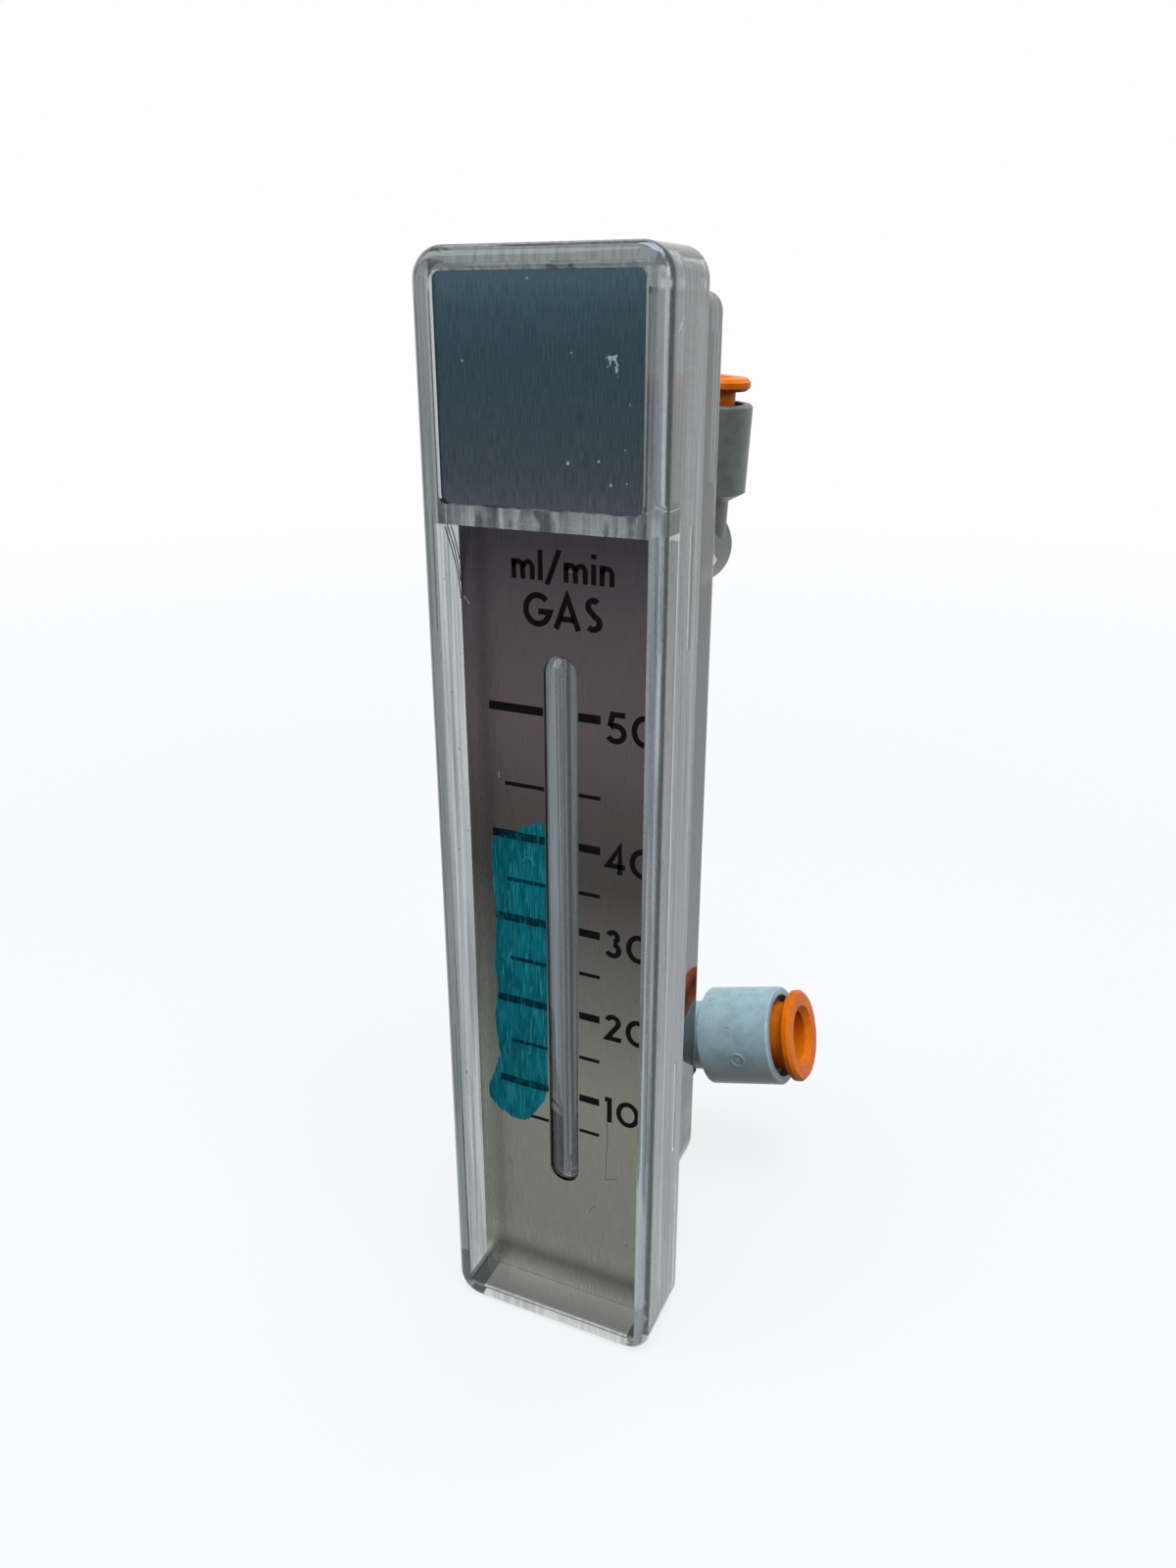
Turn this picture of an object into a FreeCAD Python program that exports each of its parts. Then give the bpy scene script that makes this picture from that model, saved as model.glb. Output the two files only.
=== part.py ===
"""Panel-mounted variable-area flow meter (rotameter) with two push-in elbow fittings.

Frame, in millimetres: +X to the right, +Y into the panel, +Z up. The origin is the centre of the bezel's
rear face, which lies on the front of the panel. BODY_FOOT_HEIGHT, INLET_HEIGHT and SCALE_START_HEIGHT count
upwards from the bezel's foot, HEADER_HEIGHT, BODY_TOP_DROP and OUTLET_DROP downwards from its top, and
SCALE_RECESS back from its front.
"""
import FreeCAD, Part
import math
import os

from FreeCAD import Rotation, Vector

# Bezel: a clear moulded frame with an open scale window and a solid header behind the nameplate
BEZEL_WIDTH = 25.4
BEZEL_HEIGHT = 120.6
BEZEL_DEPTH = 9.5
BEZEL_CORNER_RADIUS = 3.0
BEZEL_EDGE_RADIUS = 1.0
SIDE_RIM = 1.6
FOOT_RIM = 1.9
TOP_WALL = 1.5
HEADER_HEIGHT = 24.5
BAR_HEIGHT = 1.9
HEADER_SKIN = 2.4
CAVITY_CORNER_RADIUS = 1.0
PLATE_LEDGE = 0.3
SNAP_BITE = 0.3
SNAP_LENGTH = 12.0
SNAP_RISE = 30.0
SNAP_SETBACK = 1.4
SNAP_RAMP = 3.0
SNAP_CATCH = 2.0
ASSEMBLY_CLEARANCE = 0.12
PLATE_CLEARANCE = 0.05
HEADER_HOLLOW_OVERLAP = 0.5

# Nameplate, sunk in a shallow pocket of the header
NAMEPLATE_WIDTH = 21.0
NAMEPLATE_TOP_MARGIN = 2.1
NAMEPLATE_THICKNESS = 0.5
NAMEPLATE_SINK = 0.4
NAMEPLATE_CORNER_RADIUS = 0.9

# Scale plate: brushed metal with a slot for the flow tube and filled graduations
SCALE_RECESS = 4.5
PLATE_THICKNESS = 0.5
SCALE_LENGTH = 50.8
SCALE_START_HEIGHT = 26.1
SLOT_BELOW_SCALE = 8.0
SLOT_ABOVE_SCALE = 6.1
SLOT_WIDTH = 3.72
# calibrated places of the ten marks, as shares of the scale's length
GRADUATION_SHARES = (0.0, 0.090, 0.199, 0.308, 0.415, 0.516, 0.610, 0.715, 0.832, 1.0)
MAJOR_EVERY = 2
MAJOR_THICKNESS = 0.95
MINOR_THICKNESS = 0.45
MAJOR_REACH_LEFT = 8.3
MINOR_REACH_LEFT = 6.65
REACH_RIGHT = 4.5
SLOT_TO_MARK = 0.12
ENGRAVING_DEPTH = 0.12

# Meter body: one clear moulding with the flow tube, its lens rib and the port passages
BODY_REAR_WIDTH = 20.0
BODY_REAR_DEPTH = 12.9
BODY_TOP_DROP = 3.5
BODY_FOOT_HEIGHT = 9.0
BODY_FOOT_CORNER_RADIUS = 7.0
BODY_TOP_CORNER_RADIUS = 2.0
BODY_BACK_EDGE_RADIUS = 1.0
HEAD_BOSS_WIDTH = 18.0
HEAD_BOSS_CORNER_RADIUS = 2.0
HEAD_BOSS_MARGIN = 1.6
LENS_RADIUS = 2.6
LENS_PROUD = 0.45
LENS_SIDE_GAP = 0.14

# Flow passages and float
INLET_HEIGHT = 17.1
OUTLET_DROP = 32.5
PASSAGE_RADIUS = 1.2
TUBE_BEHIND_PLATE = 2.0
CHAMBER_RADIUS = 1.4
FLOAT_RADIUS = 0.6
TUBE_CLEARANCE = 0.06
TUBE_TAPER = 0.32
CHAMBER_HEADROOM = 0.4
OUTLET_CHAMBER_DROP = 2.3
STOP_TIP_REACH = 1.2
STOP_TIP_RADIUS = 0.38
STOP_STEM_RADIUS = 0.7
STOP_PLUG_LENGTH = 8.0
STOP_PLUG_OFFSET = 2.4
FLOAT_SEAT_GAP = 0.02

# Top plug, which closes the vertical chamber over the outlet passage
PLUG_AXIS_DEPTH = 5.0
PLUG_SUNK = 1.5
PLUG_HEAD_RADIUS = 3.4
PLUG_HEAD_THICKNESS = 2.5
PLUG_THREAD_RADIUS = 2.85
PLUG_THREAD_DEPTH = 0.35
PLUG_THREAD_PITCH = 1.04
PLUG_THREAD_TURNS = 9
PLUG_SHOULDER_LENGTH = 2.9
PLUG_GLAND_LENGTH = 2.0
PLUG_GLAND_RADIUS = 1.0
PLUG_NOSE_LENGTH = 0.9
PLUG_SLOT_WIDTH = 0.9
PLUG_SLOT_DEPTH = 0.9
VALVE_CHAMBER_RADIUS = 1.5
THREAD_CLEARANCE = 0.05
RING_CLEARANCE = 0.02

# Metal port inserts, 1/8 in pipe thread, anchored in the back of the body
INSERT_RADIUS = 6.2
INSERT_EMBED = 6.5
INSERT_PROUD = 7.8
INSERT_GROOVE_DEPTH = 0.6
INSERT_GROOVE_WIDTH = 1.2
INSERT_CHAMFER = 0.4
PIPE_THREAD_RADIUS = 4.95
PIPE_TAPER_SLOPE = 1 / 32

# Push-in elbow fitting for 1/4 in tube: a hex stud that carries a swivelling elbow
STUD_ENGAGEMENT = 6.5
STUD_STANDOFF = 0.4
STUD_HEX_FLATS = 11.1
STUD_HEX_THICKNESS = 3.0
STUD_BORE_RADIUS = 2.1
JOURNAL_RADIUS = 3.6
JOURNAL_LENGTH = 5.0
JOURNAL_LIP = 0.4
JOURNAL_LIP_LENGTH = 0.8
JOURNAL_CLEARANCE = 0.05
LIP_CLEARANCE = 0.3
STUD_RING_SECTION = 0.6
ELBOW_GAP = 0.3
ARM_AXIS_DEPTH = 30.85
HUB_RADIUS = 5.0
NECK_RADIUS = 4.8
HUB_END_RADIUS = 2.0
CUP_RADIUS = 6.7
CUP_START = 7.1
CUP_CONE_LENGTH = 1.1
CUP_END = 17.2
CUP_EDGE_CHAMFER = 0.25
GATE_MARK_RADIUS = 1.0
GATE_MARK_WIDTH = 0.25
GATE_MARK_NIB_RADIUS = 0.35
GATE_MARK_PROUD = 0.12
GATE_MARK_RISE = 12.6
TUBE_RADIUS = 3.175
TUBE_SLIP = 0.125
TUBE_STOP = 3.2
ARM_PASSAGE_RADIUS = 2.3
SEAL_START = 8.0
SEAL_LENGTH = 1.8
SEAL_RADIUS = 4.9
SEAL_SQUEEZE = 0.1
GRIP_RELIEF_RADIUS = 5.2
GRIP_SEAT = 11.0
GRIP_THICKNESS = 0.4
GRIP_RISE = 0.8
GRIP_SLITS = 8
GRIP_SLIT_WIDTH = 0.5
SLEEVE_RADIUS = 5.6
GUIDE_WALL = 0.5
GUIDE_FLANGE_LENGTH = 2.7
GUIDE_SETBACK = 0.9
COLLAR_CLEARANCE = 0.06
COLLAR_STEM_RADIUS = 4.55
COLLAR_BARB = 0.35
COLLAR_BARB_LENGTH = 0.6
COLLAR_FLANGE_RADIUS = 6.2
COLLAR_FLANGE_THICKNESS = 1.4
COLLAR_FLANGE_EDGE = 0.4
COLLAR_TRAVEL = 1.2
COLLAR_MARGIN = 0.3
COLLAR_ENTRY_CHAMFER = 0.8

# How the two elbows are turned about their studs, from straight up towards +X
INLET_SWIVEL_DEG = 75.0
OUTLET_SWIVEL_DEG = 2.8

# How far a cutting solid runs past the faces that it opens
CUT_MARGIN = 1.0

# Planes shared by several pieces
HALF_WIDTH = BEZEL_WIDTH / 2
FOOT = -BEZEL_HEIGHT / 2
TOP = BEZEL_HEIGHT / 2
FRONT = -BEZEL_DEPTH
LEDGE_Y = FRONT + SCALE_RECESS
PLATE_FRONT = LEDGE_Y + PLATE_CLEARANCE
PLATE_BACK = PLATE_FRONT + PLATE_THICKNESS
BODY_FLANGE_FRONT = PLATE_BACK + PLATE_CLEARANCE
WINDOW_HALF_WIDTH = HALF_WIDTH - SIDE_RIM
CAVITY_HALF_WIDTH = WINDOW_HALF_WIDTH + PLATE_LEDGE
CAVITY_FOOT = FOOT + FOOT_RIM - PLATE_LEDGE
CAVITY_TOP = TOP - TOP_WALL
BAR_FOOT = TOP - HEADER_HEIGHT
BAR_TOP = BAR_FOOT + BAR_HEIGHT
SLOT_RADIUS = SLOT_WIDTH / 2
SCALE_START = FOOT + SCALE_START_HEIGHT
SLOT_LOW = SCALE_START - SLOT_BELOW_SCALE
SLOT_HIGH = SCALE_START + SCALE_LENGTH + SLOT_ABOVE_SCALE
BODY_TOP = TOP - BODY_TOP_DROP
BODY_FOOT = FOOT + BODY_FOOT_HEIGHT
BODY_BACK = BODY_REAR_DEPTH
INLET_Z = FOOT + INLET_HEIGHT
OUTLET_Z = TOP - OUTLET_DROP
TUBE_Y = BODY_FLANGE_FRONT + TUBE_BEHIND_PLATE
INLET_CHAMBER_TOP = INLET_Z + PASSAGE_RADIUS + CHAMBER_HEADROOM
OUTLET_CHAMBER_FOOT = OUTLET_Z - PASSAGE_RADIUS - OUTLET_CHAMBER_DROP
LOWER_TIP = INLET_CHAMBER_TOP + STOP_TIP_REACH
UPPER_TIP = OUTLET_CHAMBER_FOOT - STOP_TIP_REACH
FLOAT_Z = LOWER_TIP + FLOAT_SEAT_GAP + FLOAT_RADIUS
INSERT_INNER_Y = BODY_BACK - INSERT_EMBED
INSERT_OUTER_Y = BODY_BACK + INSERT_PROUD
HEX_START = INSERT_OUTER_Y + STUD_STANDOFF
HEX_END = HEX_START + STUD_HEX_THICKNESS
JOURNAL_END = HEX_END + JOURNAL_LENGTH
HUB_START = HEX_END + ELBOW_GAP
TUBE_BORE_RADIUS = TUBE_RADIUS + TUBE_SLIP
GUIDE_END = CUP_END - GUIDE_SETBACK
FLANGE_REAR = CUP_END + COLLAR_TRAVEL + COLLAR_MARGIN
FLANGE_FRONT = FLANGE_REAR + COLLAR_FLANGE_THICKNESS
BARB_FRONT = GUIDE_END - GUIDE_FLANGE_LENGTH - COLLAR_CLEARANCE
STEM_END = BARB_FRONT - COLLAR_BARB_LENGTH


def block(x_half, y_low, y_high, z_low, z_high):
    """Box that is symmetric about the YZ plane."""
    return Part.makeBox(2 * x_half, y_high - y_low, z_high - z_low, Vector(-x_half, y_low, z_low))


def rounded_slab(x_half, z_low, z_high, y_low, y_high, foot_radius, top_radius=None):
    """Prism along Y whose XZ outline has one radius at its lower corners and one at its upper corners."""
    top_radius = foot_radius if top_radius is None else top_radius
    arcs = []
    corners = ((1, z_low, foot_radius, -90), (1, z_high, top_radius, 0), (-1, z_high, top_radius, 90),
               (-1, z_low, foot_radius, 180))
    for side, z_edge, radius, start in corners:
        inward = 1 if z_edge == z_low else -1
        centre = Vector(side * (x_half - radius), y_low, z_edge + inward * radius)
        points = [centre + Vector(math.cos(a), 0, math.sin(a)) * radius
                  for a in (math.radians(start + turn) for turn in (0, 45, 90))]
        arcs.append(points)
    edges = []
    for points, following in zip(arcs, arcs[1:] + arcs[:1]):
        edges.append(Part.Arc(*points).toShape())
        if points[2].distanceToPoint(following[0]) > 1e-6:
            edges.append(Part.makeLine(points[2], following[0]))
    return Part.Face(Part.Wire(edges)).extrude(Vector(0, y_high - y_low, 0))


def upright(radius, low, high, y, top_radius=None):
    """Cylinder or cone that stands along Z on the plane x = 0."""
    if top_radius is None:
        return Part.makeCylinder(radius, high - low, Vector(0, y, low))
    return Part.makeCone(radius, top_radius, high - low, Vector(0, y, low))


def along_y(radius, low, high, z=0.0):
    """Cylinder along Y on the plane x = 0."""
    return Part.makeCylinder(radius, high - low, Vector(0, low, z), Vector(0, 1, 0))


def turned(profile):
    """Solid turned about Z from a closed list of (radius, height) points."""
    points = [Vector(radius, 0, height) for radius, height in profile]
    face = Part.Face(Part.makePolygon(points + points[:1]))
    return face.revolve(Vector(0, 0, 0), Vector(0, 0, 1), 360)


def turned_about_y(profile):
    """Solid turned about Y from a closed list of (radius, depth) points."""
    return turned(profile).rotate(Vector(0, 0, 0), Vector(1, 0, 0), -90)


def moved(shape, x=0.0, y=0.0, z=0.0):
    copy = shape.copy()
    copy.translate(Vector(x, y, z))
    return copy


def export(name, shape):
    solid = shape.removeSplitter()
    solid.exportStep(os.path.join("parts", name + ".step"))


# ---------------------------------------------------------------- bezel and plates

def snap_lips(clearance=0.0):
    """Snap lips of the two side walls, which drop into grooves of the body; grown for the grooves."""
    bite = SNAP_BITE + clearance
    root = CAVITY_HALF_WIDTH + SNAP_BITE
    lips = []
    for side in (-1, 1):
        points = [Vector(side * root, -SNAP_SETBACK - SNAP_RAMP * bite, 0),
                  Vector(side * (CAVITY_HALF_WIDTH - bite), -SNAP_SETBACK, 0),
                  Vector(side * root, -SNAP_SETBACK + SNAP_CATCH * bite, 0)]
        face = Part.Face(Part.makePolygon(points + points[:1]))
        length = SNAP_LENGTH + 2 * clearance
        for rise in (-SNAP_RISE, SNAP_RISE):
            lips.append(moved(face.extrude(Vector(0, 0, length)), z=rise - length / 2))
    return lips


def make_bezel():
    frame = rounded_slab(HALF_WIDTH, FOOT, TOP, FRONT, 0, BEZEL_CORNER_RADIUS)
    front_edges = [edge for edge in frame.Edges if abs(edge.BoundBox.YMax - FRONT) < 1e-6]
    frame = frame.makeFillet(BEZEL_EDGE_RADIUS, front_edges)
    window = block(WINDOW_HALF_WIDTH, FRONT - CUT_MARGIN, LEDGE_Y, FOOT + FOOT_RIM, BAR_FOOT)
    cavity = rounded_slab(CAVITY_HALF_WIDTH, CAVITY_FOOT, CAVITY_TOP, LEDGE_Y, CUT_MARGIN,
                          CAVITY_CORNER_RADIUS)
    hollow = rounded_slab(WINDOW_HALF_WIDTH, BAR_TOP, CAVITY_TOP, FRONT + HEADER_SKIN,
                          LEDGE_Y + HEADER_HOLLOW_OVERLAP, CAVITY_CORNER_RADIUS)
    pocket_depth = NAMEPLATE_SINK + NAMEPLATE_THICKNESS
    pocket = rounded_slab(NAMEPLATE_WIDTH / 2, BAR_TOP, TOP - NAMEPLATE_TOP_MARGIN, FRONT - CUT_MARGIN,
                          FRONT + pocket_depth, NAMEPLATE_CORNER_RADIUS)
    frame = frame.cut([window, cavity, hollow, pocket])
    return frame.fuse(snap_lips())


def make_nameplate():
    inset = ASSEMBLY_CLEARANCE / 2
    front = FRONT + NAMEPLATE_SINK
    return rounded_slab(NAMEPLATE_WIDTH / 2 - inset, BAR_TOP + inset, TOP - NAMEPLATE_TOP_MARGIN - inset,
                        front, front + NAMEPLATE_THICKNESS, NAMEPLATE_CORNER_RADIUS - inset)


def graduation_strokes():
    """The marks on both sides of the slot, as solids that fill the engraving."""
    strokes = []
    gap_edge = SLOT_RADIUS + SLOT_TO_MARK
    for index, share in enumerate(GRADUATION_SHARES):
        major = index % MAJOR_EVERY == 1
        thickness = MAJOR_THICKNESS if major else MINOR_THICKNESS
        reach_left = MAJOR_REACH_LEFT if major else MINOR_REACH_LEFT
        low = SCALE_START + share * SCALE_LENGTH - thickness / 2
        for start, end in ((-reach_left, -gap_edge), (gap_edge, REACH_RIGHT)):
            strokes.append(Part.makeBox(end - start, ENGRAVING_DEPTH, thickness,
                                        Vector(start, PLATE_FRONT, low)))
    return strokes


def slot_shape(shrink, y_low, y_high):
    radius = SLOT_RADIUS - shrink
    return rounded_slab(radius, SLOT_LOW + shrink, SLOT_HIGH - shrink, y_low, y_high, radius)


def make_scale_plate():
    plate = rounded_slab(CAVITY_HALF_WIDTH - ASSEMBLY_CLEARANCE, CAVITY_FOOT + ASSEMBLY_CLEARANCE,
                         BAR_TOP, PLATE_FRONT, PLATE_BACK, CAVITY_CORNER_RADIUS)
    slot = slot_shape(0.0, PLATE_FRONT - CUT_MARGIN, PLATE_BACK + CUT_MARGIN)
    return plate.cut([slot] + graduation_strokes())


# ---------------------------------------------------------------- meter body

def lens_rib():
    """Domed rib that stands through the slot in front of the flow tube and magnifies the float."""
    stem = slot_shape(LENS_SIDE_GAP, PLATE_FRONT - LENS_PROUD - CUT_MARGIN, PLATE_BACK + CUT_MARGIN)
    half_width = SLOT_RADIUS - LENS_SIDE_GAP
    centre_y = PLATE_FRONT - LENS_PROUD + LENS_RADIUS
    low = SLOT_LOW + LENS_SIDE_GAP + half_width
    high = SLOT_HIGH - LENS_SIDE_GAP - half_width
    dome = upright(LENS_RADIUS, low, high, centre_y)
    ends = [Part.makeSphere(LENS_RADIUS, Vector(0, centre_y, z)) for z in (low, high)]
    return stem.common(dome.fuse(ends))


def plug_levels():
    """Heights of the top plug's steps, from its nose up to the top of its head."""
    head_top = BODY_TOP - PLUG_SUNK
    head_foot = head_top - PLUG_HEAD_THICKNESS
    thread_foot = head_foot - PLUG_THREAD_TURNS * PLUG_THREAD_PITCH
    gland_top = thread_foot - PLUG_SHOULDER_LENGTH
    gland_foot = gland_top - PLUG_GLAND_LENGTH
    return gland_foot - PLUG_NOSE_LENGTH, gland_foot, gland_top, thread_foot, head_foot, head_top


def flow_voids():
    """Passages of the body: tapered tube, end chambers, ports and the chamber under the top plug."""
    tube_foot_radius = FLOAT_RADIUS + TUBE_CLEARANCE
    nose, _, _, _, head_foot, _ = plug_levels()
    bore_radius = PLUG_THREAD_RADIUS + THREAD_CLEARANCE
    head_room = PLUG_HEAD_RADIUS + ASSEMBLY_CLEARANCE
    voids = [upright(tube_foot_radius, INLET_CHAMBER_TOP, OUTLET_CHAMBER_FOOT, TUBE_Y,
                     tube_foot_radius + TUBE_TAPER),
             upright(CHAMBER_RADIUS, CAVITY_FOOT, INLET_CHAMBER_TOP, TUBE_Y),
             upright(CHAMBER_RADIUS, OUTLET_CHAMBER_FOOT, CAVITY_TOP, TUBE_Y),
             upright(VALVE_CHAMBER_RADIUS, OUTLET_Z, nose, PLUG_AXIS_DEPTH),
             upright(bore_radius, nose - ASSEMBLY_CLEARANCE, head_foot, PLUG_AXIS_DEPTH),
             upright(head_room, head_foot, BODY_TOP + CUT_MARGIN, PLUG_AXIS_DEPTH)]
    for port_z in (INLET_Z, OUTLET_Z):
        voids.append(along_y(PASSAGE_RADIUS, TUBE_Y, INSERT_INNER_Y, port_z))
        voids.append(moved(insert_envelope(), z=port_z))
    return voids


def make_meter_body():
    gap = ASSEMBLY_CLEARANCE
    flange = rounded_slab(CAVITY_HALF_WIDTH - gap, CAVITY_FOOT + gap, CAVITY_TOP - gap,
                          BODY_FLANGE_FRONT, 0, CAVITY_CORNER_RADIUS)
    rear = rounded_slab(BODY_REAR_WIDTH / 2, BODY_FOOT, BODY_TOP, 0, BODY_BACK, BODY_FOOT_CORNER_RADIUS,
                        BODY_TOP_CORNER_RADIUS)
    back_edges = [edge for edge in rear.Edges if abs(edge.BoundBox.YMin - BODY_BACK) < 1e-6]
    rear = rear.makeFillet(BODY_BACK_EDGE_RADIUS, back_edges)
    boss = rounded_slab(HEAD_BOSS_WIDTH / 2, BAR_TOP + HEAD_BOSS_MARGIN, CAVITY_TOP - HEAD_BOSS_MARGIN,
                        FRONT + HEADER_SKIN + gap, BODY_FLANGE_FRONT, HEAD_BOSS_CORNER_RADIUS)
    solid = flange.fuse([rear, boss, lens_rib()])
    return solid.cut(flow_voids() + snap_lips(ASSEMBLY_CLEARANCE))


def make_float_ball():
    return Part.makeSphere(FLOAT_RADIUS, Vector(0, TUBE_Y, FLOAT_Z))


def make_float_stop(tip, chamber_edge, plug_near, plug_far):
    """Push-in stop: a plug that closes the chamber, a thin stem and a tip that holds the float."""
    radii = {tip: STOP_TIP_RADIUS, chamber_edge: STOP_STEM_RADIUS, plug_near: CHAMBER_RADIUS}
    order = (tip, chamber_edge, plug_near, plug_far)
    pieces = []
    for near, far in zip(order, order[1:]):
        pieces.append(upright(radii[near], min(near, far), max(near, far), TUBE_Y))
    return pieces[0].fuse(pieces[1:])


def make_lower_float_stop():
    plug_top = INLET_Z - STOP_PLUG_OFFSET
    return make_float_stop(LOWER_TIP, INLET_CHAMBER_TOP - CHAMBER_HEADROOM, plug_top,
                           plug_top - STOP_PLUG_LENGTH)


def make_upper_float_stop():
    plug_foot = OUTLET_Z + STOP_PLUG_OFFSET
    return make_float_stop(UPPER_TIP, OUTLET_CHAMBER_FOOT + CHAMBER_HEADROOM, plug_foot,
                           plug_foot + STOP_PLUG_LENGTH)


# ---------------------------------------------------------------- top plug

def make_top_plug():
    nose, gland_foot, gland_top, thread_foot, head_foot, head_top = plug_levels()
    root = PLUG_THREAD_RADIUS - PLUG_THREAD_DEPTH
    profile = [(0, nose), (root, nose), (root, gland_foot), (PLUG_GLAND_RADIUS, gland_foot),
               (PLUG_GLAND_RADIUS, gland_top), (PLUG_THREAD_RADIUS, gland_top),
               (PLUG_THREAD_RADIUS, thread_foot)]
    for turn in range(PLUG_THREAD_TURNS):
        crest = thread_foot + (turn + 1) * PLUG_THREAD_PITCH
        profile += [(root, crest - PLUG_THREAD_PITCH / 2), (PLUG_THREAD_RADIUS, crest)]
    profile += [(PLUG_HEAD_RADIUS, head_foot), (PLUG_HEAD_RADIUS, head_top), (0, head_top)]
    plug = turned(profile)
    slot = block(PLUG_SLOT_WIDTH / 2, -PLUG_HEAD_RADIUS, PLUG_HEAD_RADIUS, head_top - PLUG_SLOT_DEPTH,
                 head_top + CUT_MARGIN)
    return moved(plug.cut(slot), y=PLUG_AXIS_DEPTH)


def make_plug_o_ring():
    _, gland_foot, gland_top, _, _, _ = plug_levels()
    inner = PLUG_GLAND_RADIUS + RING_CLEARANCE
    outer = PLUG_THREAD_RADIUS + THREAD_CLEARANCE - RING_CLEARANCE
    section = (outer - inner) / 2
    centre = Vector(0, PLUG_AXIS_DEPTH, (gland_foot + gland_top) / 2)
    return Part.makeTorus(inner + section, section, centre)


# ---------------------------------------------------------------- port inserts

def insert_outline():
    """Outer (radius, depth) steps of an insert, with the groove that anchors it in the moulding."""
    groove_start = INSERT_INNER_Y + (INSERT_EMBED - INSERT_GROOVE_WIDTH) / 2
    groove_radius = INSERT_RADIUS - INSERT_GROOVE_DEPTH
    return [(INSERT_RADIUS, INSERT_INNER_Y), (INSERT_RADIUS, groove_start), (groove_radius, groove_start),
            (groove_radius, groove_start + INSERT_GROOVE_WIDTH),
            (INSERT_RADIUS, groove_start + INSERT_GROOVE_WIDTH)]


def insert_envelope():
    """The room that an insert takes in the body."""
    outline = insert_outline()
    mouth = BODY_BACK + CUT_MARGIN
    return turned_about_y([(0, INSERT_INNER_Y)] + outline + [(INSERT_RADIUS, mouth), (0, mouth)])


def pipe_radius(depth):
    """Radius of the tapered pipe thread at a depth, largest at the insert's mouth."""
    return PIPE_THREAD_RADIUS - (INSERT_OUTER_Y - depth) * PIPE_TAPER_SLOPE


def make_insert(port_z):
    outline = insert_outline()
    outline += [(INSERT_RADIUS, INSERT_OUTER_Y - INSERT_CHAMFER),
                (INSERT_RADIUS - INSERT_CHAMFER, INSERT_OUTER_Y),
                (pipe_radius(INSERT_OUTER_Y), INSERT_OUTER_Y),
                (pipe_radius(INSERT_INNER_Y), INSERT_INNER_Y)]
    return moved(turned_about_y(outline), z=port_z)


# ---------------------------------------------------------------- push-in elbow fittings
# A fitting is built with its stud on the Y axis and its arm straight up; place() turns and lifts it.

def make_stud():
    start = INSERT_OUTER_Y - STUD_ENGAGEMENT
    lip_radius = JOURNAL_RADIUS + JOURNAL_LIP
    ring_seat = HEX_END + (JOURNAL_LENGTH - JOURNAL_LIP_LENGTH) / 2
    groove_radius = JOURNAL_RADIUS - 2 * STUD_RING_SECTION + JOURNAL_CLEARANCE
    groove_low, groove_high = ring_seat - STUD_RING_SECTION, ring_seat + STUD_RING_SECTION
    lip_low = JOURNAL_END - JOURNAL_LIP_LENGTH
    mouth_radius = pipe_radius(INSERT_OUTER_Y) - THREAD_CLEARANCE
    profile = [(STUD_BORE_RADIUS, start), (pipe_radius(start) - THREAD_CLEARANCE, start),
               (mouth_radius, INSERT_OUTER_Y), (mouth_radius, HEX_END), (JOURNAL_RADIUS, HEX_END),
               (JOURNAL_RADIUS, groove_low), (groove_radius, groove_low), (groove_radius, groove_high),
               (JOURNAL_RADIUS, groove_high), (JOURNAL_RADIUS, lip_low), (lip_radius, lip_low),
               (JOURNAL_RADIUS, JOURNAL_END), (STUD_BORE_RADIUS, JOURNAL_END)]
    body = turned_about_y(profile)
    corner_radius = STUD_HEX_FLATS / math.sqrt(3)
    corners = [Vector(corner_radius * math.cos(math.radians(60 * i)), HEX_START,
                      corner_radius * math.sin(math.radians(60 * i))) for i in range(6)]
    hexagon = Part.Face(Part.makePolygon(corners + corners[:1])).extrude(Vector(0, STUD_HEX_THICKNESS, 0))
    return body.fuse(hexagon.cut(along_y(STUD_BORE_RADIUS, HEX_START - CUT_MARGIN, HEX_END + CUT_MARGIN)))


def make_stud_o_ring():
    ring_seat = HEX_END + (JOURNAL_LENGTH - JOURNAL_LIP_LENGTH) / 2
    section = STUD_RING_SECTION - RING_CLEARANCE
    centre_radius = JOURNAL_RADIUS + JOURNAL_CLEARANCE - STUD_RING_SECTION
    return Part.makeTorus(centre_radius, section, Vector(0, ring_seat, 0), Vector(0, 1, 0))


def make_gate_mark():
    """Raised ring and nib that the mould's gate leaves on the front of the cup."""
    face = ARM_AXIS_DEPTH - CUP_RADIUS - GATE_MARK_PROUD
    ring = along_y(GATE_MARK_RADIUS, face, ARM_AXIS_DEPTH, GATE_MARK_RISE)
    room = along_y(GATE_MARK_RADIUS - GATE_MARK_WIDTH, face, ARM_AXIS_DEPTH, GATE_MARK_RISE)
    nib = along_y(GATE_MARK_NIB_RADIUS, face, ARM_AXIS_DEPTH, GATE_MARK_RISE)
    return ring.cut(room).fuse(nib)


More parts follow.
